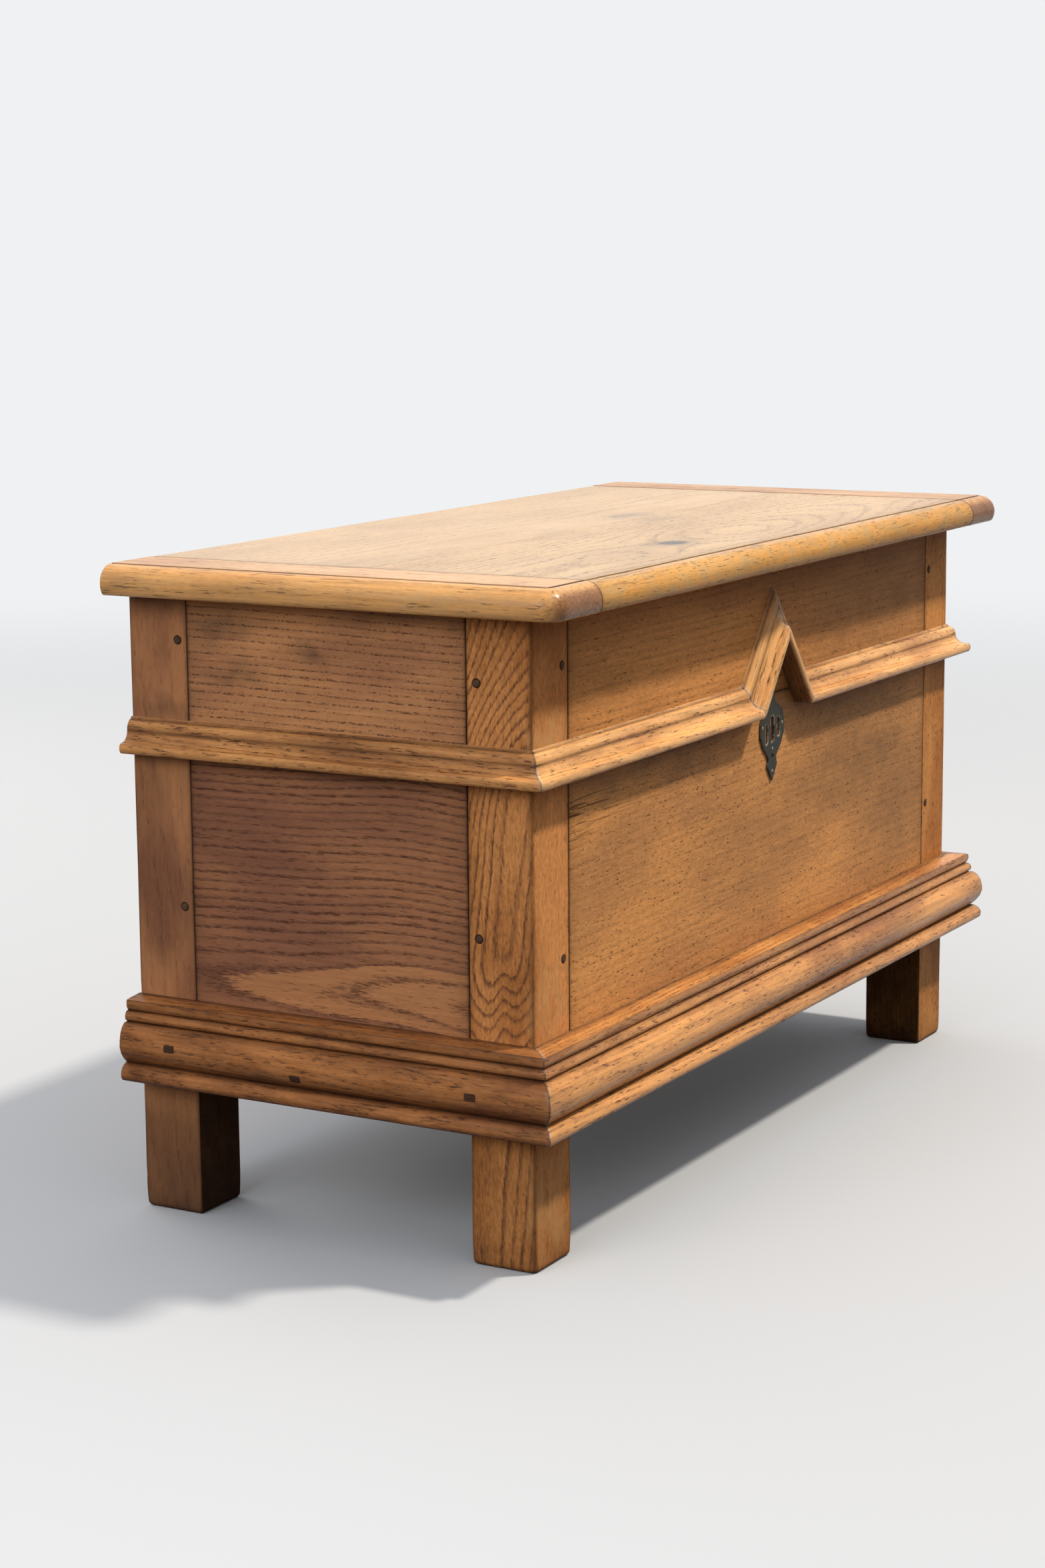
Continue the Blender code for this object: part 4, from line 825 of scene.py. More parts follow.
def makeMouldings():
    profile = baseProfile()
    origin = (-halfLength, frontFace, baseMoulding["foot"])
    piece, log = mouldingRun("base_moulding_front", profile, baseMoulding, origin, (1, 0, 0), (0, 0, 1), (0, -1, 0),
                             2 * halfLength, (-1, 0), (1, 0), 21.3)
    settle(piece, oakFinish("base_moulding_front_oak", log), "oak_moulding", "carcass", "base_moulding_front")
    depth = rearFace - frontFace
    for side in (-1, 1):
        origin = (side * halfLength, rearFace, baseMoulding["foot"])
        name = f"base_moulding_{word(side)}"
        piece, log = mouldingRun(name, profile, baseMoulding, origin, (0, -1, 0), (0, 0, 1), (side, 0, 0), depth, (0, 0), (1, 0),
                                 22.4 + side)
        if side < 0:
            log["marks"] = (((-0.503, -0.185, 0.1625), (0.02, 0.028, 0.0007), 0.95),
                            ((-0.50, 0.10, 0.15), (0.02, 0.10, 0.006), 0.5), ((-0.50, -0.03, 0.188), (0.02, 0.12, 0.004), 0.4))
        settle(piece, oakFinish(name + "_oak", log), "oak_moulding", "carcass", name)

    profile = waistProfile()
    slope = math.atan2(chevron["drop"] - chevron["clear"], chevron["halfWidth"])
    tall = profile[1][-1]
    # each arm's profile is darkened at its bottom, under the nose: painted shade
    armProfile = profile[:3] + [profile[3] + chevron["undersideShade"] * near(profile[1], 0.0012)]
    turnHalf = math.tan(slope / 2)
    foot = chevron["halfWidth"] - tall * turnHalf
    level = waistMoulding["foot"]
    for side in (-1, 1):
        origin = (side * halfLength, rearFace, level)
        runs = {f"waist_moulding_{word(side)}": (origin, (0, -1, 0), (0, 0, 1), (side, 0, 0), depth, (0, 0), (1, 0))}
        corner = (side * halfLength, frontFace, level)
        knee = (lockX + side * foot, frontFace, level)
        length = abs(knee[0] - corner[0])
        runs[f"waist_moulding_front_{word(side)}"] = (corner, (-side, 0, 0), (0, 0, 1), (0, -1, 0), length, (-1, 0), (0, -turnHalf))
        arm = (-side * math.cos(slope), 0, math.sin(slope))
        armUp = (side * math.sin(slope), 0, math.cos(slope))
        runs[f"chevron_{word(side)}"] = (knee, arm, armUp, (0, -1, 0), foot / math.cos(slope), (0, turnHalf), (0, math.tan(slope)))
        for i, (name, run) in enumerate(runs.items()):
            worked = armProfile if name.startswith("chevron") else profile
            piece, log = mouldingRun(name, worked, waistMoulding, *run, 25.0 + 3 * i + side)
            # the arms take a dark patch at the apex under the lid: painted shade
            if worked is armProfile:
                log["marks"] = (chevron["apexShade"],)
            settle(piece, oakFinish(name + "_oak", log), "oak_moulding", "carcass", name)
    print("mouldings: 9")


# Lid: two long boards between cross cleats, one rounded edge with a quirk all round the front and sides

lidSize = {"noseRise": 0.011, "topRound": 0.018, "lowerRound": 0.005, "quirk": 0.0012, "corner": 0.003,
           "cleat": 0.080, "cell": 0.014, "swell": 0.0003, "steps": 9}
lidLogs = {
    "lid_board_front": {
        "ring": 0.0085, "pith": (-0.150, 0.545), "lean": (0.02, -0.035), "wobble": 0.016,
        "arches": ((-0.03, 0.0, 0.4), (-0.03, 0.0, -0.4)), "seed": 31.5, "bandTone": 0.30, "poreTone": 0.60,
        "late": (0.585, 0.343, 0.127, 1), "ruddy": (0.40, 0.196, 0.066, 1), "wearAndHighlight": (0.78, 0.325, 0.044, 1), "ruddyShare": 0.35, "streak": 0.55,
        "cloud": 0.30, "shine": 0.12, "polish": 0.6, "openPores": 0.61,
        "fissures": (((-0.36, -0.226, 0.604), (0.10, 0.030, 0.022)), ((-0.10, -0.226, 0.602), (0.10, 0.02, 0.015))),
        "knots": (((-0.117, -0.149, 0.608), (0.026, 0.018, 0.03), 0.020),), "quiet": 0.8,
        "stainAndPaintedLight": (0.16, 0.085, 0.040, 1),
        "marks": (((-0.117, -0.149, 0.608), (0.06, 0.035, 0.05), 0.6), ((-0.20, -0.14, 0.608), (0.16, 0.04, 0.05), 0.25),
                  ((0.095, -0.020, 0.608), (0.07, 0.03, 0.05), 0.5)),
    },
    "lid_board_rear": {
        "ring": 0.0098, "pith": (0.02, 0.50), "lean": (0.02, -0.02), "wobble": 0.02, "seed": 32.8,
        "bandTone": 0.16, "poreTone": 0.35, "late": (0.595, 0.350, 0.131, 1), "ruddy": (0.41, 0.205, 0.070, 1),
        "bright": 1.0, "ruddyShare": 0.30, "streak": 0.40, "cloud": 0.30, "shine": 0.25, "polish": 0.6, "marks": (((0.11, 0.015, 0.608), (0.06, 0.03, 0.05), 0.55),),
    },
    "lid_cleat_left": {
        "ring": 0.0052, "pith": (-0.44, 0.57), "lean": (0.02, 0.01), "seed": 33.9, "bandTone": 0.35, "poreTone": 0.75,
        "openPores": 0.625, "poreLength": 12.0, "streak": 1.3, "late": (0.57, 0.298, 0.104, 1), "bright": 1.15, "ruddyShare": 0.4,
        "roughness": 0.30, "shine": 0.25, "polish": 0.15, "wearAndHighlight": (0.74, 0.345, 0.100, 1), "endTone": 0.85, "end": (0.170, 0.058, 0.020, 1),
    },
    "lid_cleat_right": {
        "ring": 0.0056, "pith": (0.45, 0.56), "lean": (-0.02, 0.01), "seed": 34.6, "bandTone": 0.35, "poreTone": 0.7,
        "openPores": 0.64, "poreLength": 12.0, "streak": 0.9, "late": (0.57, 0.285, 0.092, 1), "bright": 1.0, "ruddyShare": 0.4,
        "roughness": 0.30, "shine": 0.25, "polish": 0.15, "endTone": 0.90, "end": (0.170, 0.058, 0.020, 1),
    },
}
frontLow, frontHigh = span("lid_board_front")
rearBoardLow, rearBoardHigh = span("lid_board_rear")
lidLow, lidHigh = span("lid_cleat_left")
lidBottom, lidTop = lidLow[2], lidHigh[2]
lidFront, lidRear = frontLow[1], rearBoardHigh[1]
lidHalf = -lidLow[0]
cleatLine = lidHalf - lidSize["cleat"]
lidSplit = frontHigh[1]


def lidEdge():
    # from under the lid to its top: a tight lower quarter ellipse, a wide upper one, then the quirk's groove
    size = lidSize
    thick = lidTop - lidBottom
    low = np.radians(np.linspace(270, 180, 6))
    high = np.radians(np.linspace(180, 96, size["steps"]))[1:]
    crest = thick - size["quirk"] * 0.35 - size["noseRise"]
    inset = np.r_[size["lowerRound"] * (1 + np.cos(low)), (size["topRound"] - 0.0008) * (1 + np.cos(high)),
                  size["topRound"] - 0.0007, size["topRound"] + 0.0001, size["topRound"] + 0.0006]
    height = np.r_[size["noseRise"] * (1 + np.sin(low)), size["noseRise"] + crest * np.sin(high),
                   thick - size["quirk"], thick - size["quirk"] * 0.8, thick]
    # the edge is lightened as wear, most on its lower curve, where the lightening is painted light from the floor; the
    # quirk's groove is darkened, which is painted shade
    wearAndHighlight = np.r_[0 * low + 0.95, 0.95 - 0.45 * np.sin(high), 0, 0, 0.2]
    dirtAndShade = np.r_[low * 0 + 0.12, high * 0 + 0.03, 0.9, 1.0, 0.25]
    return inset, height, wearAndHighlight, dirtAndShade


def lidFrontBoard():
    # profile: rounded edge, flat top, square joint, flat underside; path: between the cleats
    inset, height, wearAndHighlight, dirtAndShade = lidEdge()
    half = cleatLine - seamGap
    station, ease = softPath(-half, half, 0.0006, 0.0006, lidSize["cell"], 3)
    flatY = np.linspace(lidFront + inset[-1], lidSplit - seamGap, 14)[1:]
    flatY = np.r_[flatY[:-1], flatY[-1] - np.array([0.0036, 0.0012, 0.0])]
    jointY = np.array([lidSplit, lidSplit])
    underY = np.linspace(lidSplit - seamGap, lidFront + inset[0], 12)[:-1]
    y = np.r_[lidFront + inset, flatY, jointY, underY]
    z = np.r_[lidBottom + height, flatY * 0 + lidTop, lidTop - 0.0002, lidBottom + 0.0006, underY * 0 + lidBottom]
    wearAndHighlight = np.r_[wearAndHighlight, flatY * 0, 0, 0, underY * 0]
    dirtAndShade = np.r_[dirtAndShade, 0.15 * near(lidSplit - flatY, 0.001), 0.2, 0.5, underY * 0]
    bare = np.r_[0 * inset, 0 * flatY, 0, 0.5, 0 * underY + 1]
    return lidSlab("lid_board_front", station, ease, y, z, wearAndHighlight, dirtAndShade, bare)


def lidRearBoard():
    frontEdge, rearEdge = lidSplit + seamGap, lidRear
    flat = np.linspace(frontEdge + 0.0006, rearEdge - 0.002, 15)
    flat = np.r_[flat[0] + np.array([0.0, 0.0012, 0.0036]), flat[1:-1], flat[-1] - np.array([0.0036, 0.0012, 0.0])]
    rearTurn = np.radians([70, 45, 20])
    y = np.r_[frontEdge, flat, rearEdge - 0.002 + 0.002 * np.cos(rearTurn), rearEdge, flat[::-1], frontEdge]
    z = np.r_[lidTop - 0.0002, flat * 0 + lidTop, lidTop - 0.002 + 0.002 * np.sin(rearTurn), lidBottom + 0.0006,
              flat * 0 + lidBottom, lidBottom + 0.0006]
    dirtAndShade = np.r_[0.2, 0.15 * near(flat - frontEdge - 0.0006, 0.001), 0, 0, 0, 0, flat * 0, 0.6]
    bare = np.r_[0, flat * 0, 0, 0, 0, 0.3, flat * 0 + 1, 0.5]
    half = cleatLine - seamGap
    station, ease = softPath(-half, half, 0.0006, 0.0006, lidSize["cell"], 3)
    return lidSlab("lid_board_rear", station, ease, y, z, y * 0, dirtAndShade, bare)


def lidSlab(name, station, ease, y, z, wearAndHighlight, dirtAndShade, bare):
    middle = (lidBottom + lidTop) / 2
    shape = (len(station), len(y))
    points = np.zeros(shape + (3,))
    points[..., 0] = station[:, None]
    points[..., 1] = y
    rise = (z - middle)[None]
    sink = lidSize["swell"] * swell(points[..., 0], points[..., 1], lidLogs[name]["seed"], 0.2)
    points[..., 2] = middle + rise - np.sign(rise) * (ease[:, None] + sink * (np.abs(rise) > 0.0125))
    fromEnd = np.minimum(station - station[0], station[-1] - station)[:, None]
    grimeAndShade = dirtAndShade + near(fromEnd, 0.0010) * 0.9 + 0.25 * near(fromEnd, 0.008)
    spread = [np.broadcast_to(part, shape) for part in (wearAndHighlight, bare)]
    return makePiece(name + "_wood", points, (spread[0], grimeAndShade, spread[1]))


def lidCleat(side):
    # profile of the lid's edge carried round the outer side and front; each line runs on to the joint with the boards
    inset, height, wearAndHighlight, dirtAndShade = lidEdge()
    radius = lidSize["corner"] + lidSize["topRound"]
    back = np.linspace(lidRear, lidFront + radius, 34)
    turn = np.radians(np.linspace(180, 270, 15))[1:]
    ahead = np.linspace(-lidHalf + radius, -cleatLine - seamGap, 10)[1:]
    # outer line at zero inset, and its inward direction
    outer = np.concatenate([np.stack([back * 0 - lidHalf, back], 1),
                            np.stack([-lidHalf + radius + radius * np.cos(turn), lidFront + radius + radius * np.sin(turn)], 1),
                            np.stack([ahead, ahead * 0 + lidFront], 1)])
    inward = np.concatenate([np.stack([back * 0 + 1, back * 0], 1), np.stack([-np.cos(turn), -np.sin(turn)], 1),
                             np.stack([ahead * 0, ahead * 0 + 1], 1)])
    jointX = -cleatLine - seamGap
    count = len(turn) + len(ahead)
    jointY = np.r_[back, np.linspace(back[-1], lidFront + inset[-1] + 0.0002, count + 1)[1:]]
    joint = np.stack([jointY * 0 + jointX, jointY], 1)
    edge = outer[:, None] + inward[:, None] * inset[None, :, None]
    edge[..., 0] = np.minimum(edge[..., 0], jointX)
    topShare = np.r_[0.12, 0.3, 0.5, 0.7, 0.86, 0.95, 0.985, 1.0]
    top = edge[:, -1:] + (joint[:, None] - edge[:, -1:]) * topShare[None, :, None]
    under = joint[:, None] + (edge[:, :1] - joint[:, None]) * np.linspace(0, 1, 7)[:-1][None, :, None]
    flat = np.concatenate([edge, top, under], 1)
    z = np.r_[lidBottom + height, topShare * 0 + lidTop, np.zeros(6) + lidBottom]
    points = np.zeros(flat.shape[:2] + (3,))
    points[..., :2] = flat
    points[..., 2] = z
    points[:, len(inset) + len(topShare) - 1, 2] -= 0.0006
    wear = np.r_[wearAndHighlight, topShare * 0, np.zeros(6)]
    grimeAndShade = np.r_[dirtAndShade, 0, 0, 0, 0, 0.05, 0.2, 0.6, 1.0, 1.0, np.zeros(5)]
    bare = np.r_[inset * 0, topShare * 0, np.zeros(6) + 1]
    cornerWear = np.exp(-(np.hypot(flat[..., 0] + lidHalf - 0.006, flat[..., 1] - lidFront - 0.006) / 0.022) ** 2)
    shape = flat.shape[:2]
    marks = (np.broadcast_to(wear, shape) + 0.0 * cornerWear, np.broadcast_to(grimeAndShade, shape), np.broadcast_to(bare, shape))
    if side > 0:
        points[..., 0] *= -1
    return makePiece(f"lid_cleat_{word(side)}_wood", points, marks)


def makeLid():
    pieces = {"lid_board_front": lidFrontBoard(), "lid_board_rear": lidRearBoard()}
    cut(pieces["lid_board_rear"], "leafSeat", [leafSeat(side, 1) for side in (-1, 1)])
    for side in (-1, 1):
        pieces[f"lid_cleat_{word(side)}"] = lidCleat(side)
    for name, piece in pieces.items():
        cleat = "cleat" in name
        finish = oakFinish(name + "_oak", {"grain": "cleat" if cleat else "lid", **lidLogs[name]})
        settle(piece, finish, "oak_cleat" if cleat else "oak_lid", "lid", name)
    print("lid pieces:", len(pieces))


# Keyhole plate: pierced iron, cut from flat outlines with soft edges

plateLow, plateHigh = span("keyhole_plate")
keyhole = {"height": 0.415, "slot": (0.007, 0.026), "pierced": ((-0.0135, -0.004), (0.0135, 0.001)), "side": (0.0048, 0.020),
           "thick": 0.0016}


def plateOutline():
    # half width at each height: neck, round shoulders with a scallop, taper to a waist, then a pointed leaf
    z = np.array([0.048, 0.047, 0.044, 0.030, 0.0255, 0.022, 0.017, 0.010, 0.000, -0.006, -0.012, -0.018,
                  -0.024, -0.0285, -0.0325, -0.0345, -0.037, -0.043, -0.049, -0.052])
    x = np.array([0.000, 0.0028, 0.0040, 0.0042, 0.0080, 0.0150, 0.0215, 0.0255, 0.0270, 0.0262, 0.0230, 0.0185,
                  0.0130, 0.0088, 0.0098, 0.0114, 0.0106, 0.0064, 0.0024, 0.000])
    share = np.linspace(0, len(z) - 1, 110)
    x, z = np.interp(share, np.arange(len(x)), x), np.interp(share, np.arange(len(z)), z)
    body = np.clip((z + 0.024) / 0.006, 0, 1) * np.clip((0.024 - z) / 0.006, 0, 1)
    x = x + 0.0010 * body * np.abs(np.sin(z * 6.28 / 0.022))
    return np.concatenate([np.stack([x, z], 1), np.stack([-x, z], 1)[::-1][1:-1]])


def makePlate():
    curve = bpy.data.curves.new("plate", "CURVE")
    curve.dimensions = "2D"
    curve.fill_mode = "BOTH"
    outlines = [plateOutline(), slotOutline((0, 0), *keyhole["slot"])[:, [0, 2]]]
    outlines += [slotOutline(centre, *keyhole["side"])[:, [0, 2]] for centre in keyhole["pierced"]]
    outlines.append(circleOutline((0.0, -0.027), 0.0022, (0, 1), 14)[:, :2])
    for outline in outlines:
        spline = curve.splines.new("POLY")
        spline.points.add(len(outline) - 1)
        spline.points.foreach_set("co", np.c_[outline, np.zeros(len(outline)), np.ones(len(outline))].reshape(-1))
        spline.use_cyclic_u = True
    curve.extrude = keyhole["thick"] / 2 - 0.0004
    curve.bevel_depth = 0.0004
    curve.bevel_resolution = 1
    curve.offset = -0.0004
    shape = bpy.data.objects.new("plateShape", curve)
    scene.collection.objects.link(shape)
    mesh = bpy.data.meshes.new_from_object(shape.evaluated_get(bpy.context.evaluated_depsgraph_get()))
    bpy.data.objects.remove(shape)
    flat = np.zeros(len(mesh.vertices) * 3, np.float32)
    mesh.vertices.foreach_get("co", flat)
    flat = flat.reshape(-1, 3)
    middle = frontFace - seamGap - keyhole["thick"] / 2
    bowed = 0.0004 * (1 - np.clip(np.abs(flat[:, 0]) / 0.028, 0, 1) ** 2)
    raised = np.stack([lockX + flat[:, 0], middle - flat[:, 2] - 0 * bowed, keyhole["height"] + flat[:, 1]], 1)
    mesh.vertices.foreach_set("co", raised.astype(np.float32).reshape(-1))
    layer = mesh.attributes.new("surfaceMarks", "FLOAT_VECTOR", "POINT")
    # the plate's cut edges are lightened: worn metal and painted glint
    edge = (np.abs(flat[:, 2]) < keyhole["thick"] / 2 - 0.0002).astype(np.float32)
    layer.data.foreach_set("vector", np.stack([edge, edge * 0, edge * 0], 1).reshape(-1))
    mesh.shade_smooth()
    mesh.set_sharp_from_angle(angle=math.radians(50))
    piece = bpy.data.objects.new("keyhole_plate_iron", mesh)
    scene.collection.objects.link(piece)
    settle(piece, plateIron, "iron_dark", "carcass", "keyhole_plate")
    nails = [(0.0, 0.0375), (-0.0225, 0.0035), (0.0225, 0.0035), (0.0, -0.0195), (0.0, -0.0420)]
    face = frontFace - seamGap - keyhole["thick"]
    heads = [domeHead((lockX + x, face + 0.0002, keyhole["height"] + z), 1, -1, 0.0019, 0.0007) for x, z in nails]
    settle(joinHeads("keyhole_plate_nails", heads), plateNail, "iron_dark", "carcass")
    print("keyhole plate with", len(nails), "nails")


def domeHead(centre, axis, sign, radius, rise, sides=14):
    # a turned dome: radius cos t and height sin t, with a short skirt below its foot
    turn = np.radians([0, 25, 50, 72, 86])
    rings = np.r_[1.0, np.cos(turn)] * radius
    lifts = np.r_[-0.0004, np.sin(turn) * rise]
    around = np.linspace(0, 2 * np.pi, sides, endpoint=False)
    plane = [k for k in range(3) if k != axis]
    points = np.zeros((len(rings), sides, 3))
    points[..., plane[0]] = centre[plane[0]] + rings[:, None] * np.cos(around)
    points[..., plane[1]] = centre[plane[1]] + rings[:, None] * np.sin(around)
    points[..., axis] = centre[axis] + sign * lifts[:, None]
    return points


def joinHeads(name, heads, marks=(0.6, 0.0, 0.0)):
    # several closed forms in one mesh: their faces are offset by the points before them
    parts = [makePiece(f"{name}{i}", head) for i, head in enumerate(heads)]
    points, faces = [], []
    for part in parts:
        base = len(points)
        points += [tuple(v.co) for v in part.data.vertices]
        faces += [[base + i for i in face.vertices] for face in part.data.polygons]
        bpy.data.objects.remove(part)
    mesh = bpy.data.meshes.new(name)
    mesh.from_pydata(points, [], faces)
    layer = mesh.attributes.new("surfaceMarks", "FLOAT_VECTOR", "POINT")
    layer.data.foreach_set("vector", np.tile(marks, len(points)).astype(np.float32))
    mesh.shade_smooth()
    mesh.set_sharp_from_angle(angle=math.radians(50))
    piece = bpy.data.objects.new(name, mesh)
    scene.collection.objects.link(piece)
    return piece


# Nail plugs in the side base mouldings, and the screws of the hinges, lock and staple

plug = {"places": ((0.171, 0.1665), (0.034, 0.156), (-0.148, 0.164)), "half": (0.0056, 0.0034)}


def makePlugs():
    # a small block with soft corners, its face following the moulding's bulge
    finish = oakFinish("plug_end_grain", {
        "grain": "y", "late": (0.10, 0.055, 0.033, 1), "ruddy": (0.07, 0.04, 0.025, 1), "bandTone": 0.4, "seed": 41.0})
    reach, height, _, _ = baseProfile()
    outer = slice(1, 1 + 2 * baseMoulding["steps"])
    for side in (-1, 1):
        heads = []
        for y, z in plug["places"]:
            bulge = np.interp(z - baseMoulding["foot"], height[outer], reach[outer])
            outline = softRectangle([plug["half"][0]], [plug["half"][1]], 0.0012, 0.003, 3)[0]
            ring = np.zeros((4, len(outline), 3))
            for k, (scale, lift) in enumerate(((1.0, -0.006), (1.0, 0.0), (0.94, 0.0002), (0.7, 0.00025))):
                ring[k, :, 1] = y + outline[:, 0] * scale
                ring[k, :, 2] = z + outline[:, 1] * scale
                curve = np.interp(ring[k, :, 2] - baseMoulding["foot"], height[outer], reach[outer])
                ring[k, :, 0] = side * (halfLength + curve + lift)
            heads.append(ring)
        settle(joinHeads(f"base_moulding_plugs_{word(side)}", heads, (0.0, 0.5, 0.0)), finish, "oak_peg", "carcass")
    print("plugs:", 2 * len(plug["places"]))


def makeScrews():
    for side in (-1, 1):
        for kind, body, up in (("carcass", "carcass", 1), ("lid", "lid", -1)):
            low, high = span(f"hinge_{kind}_leaf_{word(side)}")
            face = high[2] if up < 0 else low[2]
            face = carcassTop if up > 0 else carcassTop + 0.0003
            middle = (low[0] + high[0]) / 2
            y = low[1] + 0.009
            heads = [domeHead((middle + x, y, face), 2, up, 0.0032, 0.0001) for x in (-0.024, 0.0, 0.024)]
            settle(joinHeads(f"hinge_{kind}_screws_{word(side)}", heads), nailIron, "iron_dark", body)
    low, high = span("lock_case")
    heads = [domeHead((x, high[1], z), 1, 1, 0.0036, 0.0014)
             for x in (low[0] + 0.010, high[0] - 0.010) for z in (low[2] + 0.012, high[2] - 0.012)]
    settle(joinHeads("lock_case_rivets", heads), nailIron, "iron_dark", "carcass")
    low, high = span("lid_staple")
    plate = high[2] - 0.003
    heads = [domeHead((x, (low[1] + high[1]) / 2, plate), 2, -1, 0.0034, 0.0010) for x in (low[0] + 0.009, high[0] - 0.009)]
    settle(joinHeads("lid_staple_screws", heads), nailIron, "iron_dark", "lid")
    print("screws and rivets in place")


# Pieces whose own solid is right get a finish only

def dressPlain():
    iron = ironFinish("hinge_and_lock_iron", (0.055, 0.056, 0.054, 1), (0.085, 0.045, 0.025, 1), 0.75)
    bottomLog = {"bright": 0.80, "bandTone": 0.5, "late": (0.43, 0.27, 0.14, 1), "early": (0.23, 0.13, 0.065, 1),
                 "roughness": 0.6}
    for name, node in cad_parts.items():
        finish = None
        if name.startswith("bottom_board"):
            number = int(name[-1])
            low, high = span(name)
            finish = oakFinish(name + "_oak", {**bottomLog, "grain": "cleat", "seed": 50.0 + number, "ring": 0.0075,
                                               "pith": (float(low[0] + high[0]) / 2 + 0.02 * (number - 3), 0.12 - 0.01 * number),
                                               "lean": (0.02 * (number - 3), 0.03)})
        elif name.startswith("ledger"):
            finish = oakFinish(name + "_oak", {**bottomLog, "grain": "x", "seed": 60.0 + len(name), "ring": 0.006,
                                               "pith": (0.10, 0.0)})
        elif name.startswith(("hinge", "lock", "lid_staple")):
            finish = iron
        if finish:
            for place in node.material_slots:
                place.material = finish


plateRims = [(lockX + x, keyhole["height"] + z, (high - wide) / 2, wide / 2)
             for x, z, wide, high in [(0, 0, *keyhole["slot"])] + [(*centre, *keyhole["side"]) for centre in keyhole["pierced"]]]
plateIron = ironFinish("keyhole_plate_iron", (0.030, 0.031, 0.024, 1), (0.056, 0.042, 0.027, 1), 0.25, plateRims)
plateNail = ironFinish("plate_nail_iron", (0.34, 0.26, 0.19, 1), (0.24, 0.15, 0.09, 1), 0.2)
nailIron = ironFinish("nail_iron", (0.085, 0.072, 0.058, 1), (0.11, 0.07, 0.04, 1), 0.7)
makeBoards()
for side in (-1, 1):
    for face in (-1, 1):
        post(side, face)
print("posts: 4")
makePegs()
makeMouldings()
makeLid()
makePlate()
makePlugs()
makeScrews()
dressPlain()


# Floor, light and camera

stage = {"floor": (0.50, 0.496, 0.488, 1), "backdrop": (0.87, 0.88, 0.89, 1), "fade": (1.5, 5.0),
         "nearBounce": (0.05, 0.046, 0.040, 1), "farBounce": (0.012, 0.011, 0.010, 1), "bounceFade": (0.42, 0.90),
         "sky": (0.81, 0.845, 0.92, 1), "horizon": (0.03, 0.03, 0.03, 1), "skyRise": (0.0, 0.6)}
lamps = {  # place, aim, size, watts, colour
    "keyLamp": ((1.64, -2.80, 5.76), (0, -0.2, 0.6), 0.45, 365.0, (1.0, 0.955, 0.885)),
    "sideLamp": ((-3.0, 0.30, 1.6), (0, 0, 0.3), 1.8, 33.5, (0.94, 0.99, 1.06)),
    "rearLamp": ((0.9, 3.0, 1.5), (0, 0, 0.3), 2.0, 25.0, (1.0, 0.98, 0.95)),
}


def seenDirectly(begin):  # 1 for camera, mirror and glass rays
    rays = [begin.node("LightPath", out=f"Is {kind} Ray") for kind in ("Camera", "Glossy", "Transmission")]
    return begin.maths("MINIMUM", rays[0] + rays[1] + rays[2], 1.0)


def makeFloor():
    # a disc: rings of growing radius
    radius = np.r_[0.001, np.geomspace(0.3, 60.0, 24)]
    turn = np.linspace(0, 2 * np.pi, 96, endpoint=False)
    points = np.stack([radius[:, None] * np.cos(turn), radius[:, None] * np.sin(turn), np.zeros((len(radius), len(turn)))], -1)
    rows, cols = points.shape[:2]
    r, c = np.meshgrid(np.arange(rows - 1), np.arange(cols), indexing="ij")
    n = (c + 1) % cols
    quads = np.stack([r * cols + c, (r + 1) * cols + c, (r + 1) * cols + n, r * cols + n], -1).reshape(-1, 4)
    mesh = bpy.data.meshes.new("floor")
    mesh.from_pydata(points.reshape(-1, 3).tolist(), [], quads.tolist() + [list(range(cols))])
    floor = bpy.data.objects.new("floor", mesh)
    scene.collection.objects.link(floor)
    finish, begin, shader = newFinish("floor_pale")
    place = begin.node("TexCoord", out="Object")
    away = begin.node("VectorMath", {"operation": "LENGTH"}, {0: place}, "Value")
    bounce = begin.blend(away.step(*stage["bounceFade"]), stage["nearBounce"], stage["farBounce"])
    feed(begin.blend(seenDirectly(begin), bounce, stage["floor"]), shader, "Base Color")
    shader.inputs["Roughness"].default_value = 0.85
    share = away.step(*stage["fade"]) * begin.node("LightPath", out="Is Camera Ray")  # far off it is the backdrop
    glow = begin.node("Emission", {}, {"Color": stage["backdrop"]})
    joined = begin.node("MixShader", {}, {0: share, 1: Signal(finish.node_tree, shader.outputs[0]), 2: glow})
    feed(joined, finish.node_tree.nodes["Material Output"], "Surface")
    mesh.materials.append(finish)


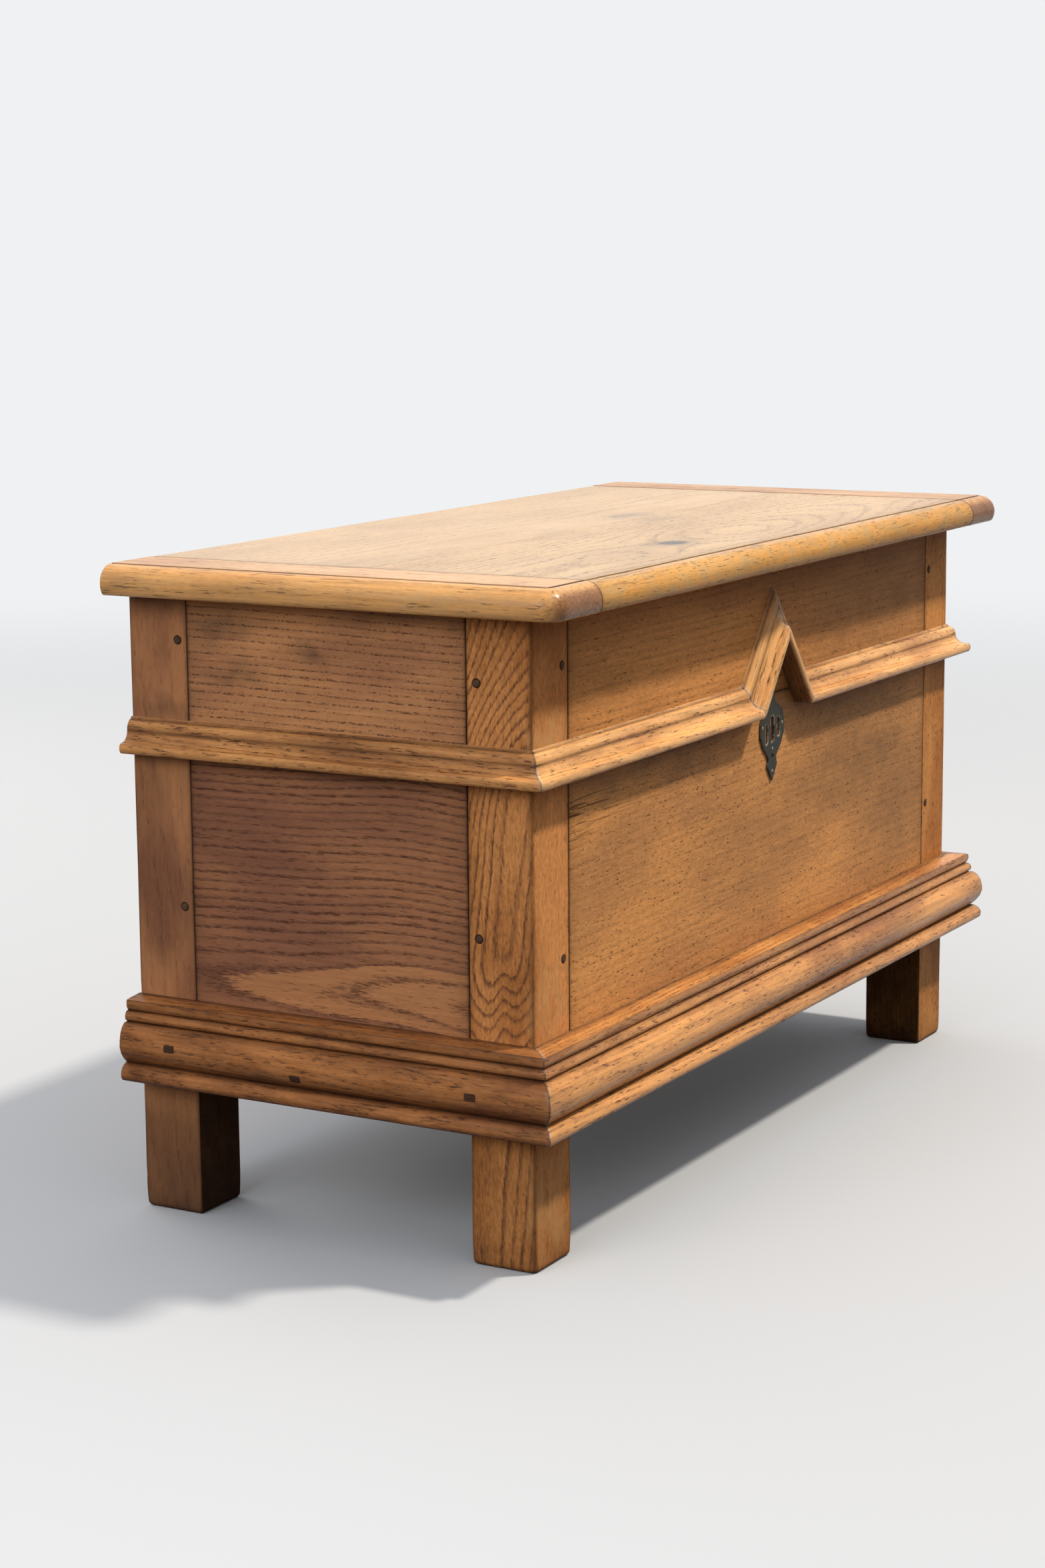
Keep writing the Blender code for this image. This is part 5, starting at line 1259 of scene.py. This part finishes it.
def areaLamp(name, origin, target, size, power, colour):
    lamp = bpy.data.lights.new(name, "AREA")
    lamp.shape = "DISK"
    lamp.size = size
    lamp.energy = power
    lamp.color = colour
    holder = bpy.data.objects.new(name, lamp)
    scene.collection.objects.link(holder)
    back = np.array(origin, float) - np.array(target, float)
    back /= np.linalg.norm(back)
    right = np.cross((0, 0, 1), back)
    right /= np.linalg.norm(right)
    up = np.cross(back, right)
    holder.matrix_world = Matrix(np.r_[np.c_[right, up, back, np.array(origin)], [[0, 0, 0, 1]]].tolist())


def makeLight():
    world = bpy.data.worlds.new("studio")
    scene.world = world
    world.use_nodes = True
    begin = Signal(world.node_tree)
    ground = world.node_tree.nodes["Background"]
    rise = begin.node("TexCoord", out="Generated").dot((0, 0, 1)).step(*stage["skyRise"])
    fill = begin.blend(rise, stage["horizon"], stage["sky"])
    feed(begin.blend(seenDirectly(begin), fill, stage["backdrop"]), ground, "Color")
    for name, (origin, target, size, power, colour) in lamps.items():
        areaLamp(name, origin, target, size, power, colour)


photo = {"height": 2352, "focal": 4606.34, "turn": -60.429, "down": 10.25, "roll": -0.472,
         "from": (-2.70666, -1.45255, 0.90132)}


def makeCamera():
    turn, down, roll = (math.radians(photo[key]) for key in ("turn", "down", "roll"))
    ahead = np.array([-math.sin(turn) * math.cos(down), math.cos(turn) * math.cos(down), -math.sin(down)])
    level = np.array([math.cos(turn), math.sin(turn), 0.0])
    rise = np.cross(level, ahead)
    right = math.cos(roll) * level + math.sin(roll) * rise
    up = -math.sin(roll) * level + math.cos(roll) * rise
    lens = bpy.data.cameras.new("camera")
    lens.sensor_fit = "VERTICAL"
    lens.sensor_height = 36.0
    lens.lens = photo["focal"] / photo["height"] * lens.sensor_height
    lens.clip_end = 200.0
    camera = bpy.data.objects.new("camera", lens)
    scene.collection.objects.link(camera)
    camera.matrix_world = Matrix(np.r_[np.c_[right, up, -ahead, np.array(photo["from"])], [[0, 0, 0, 1]]].tolist())
    scene.camera = camera


makeFloor()
makeLight()
makeCamera()
print("floor, light and camera set")
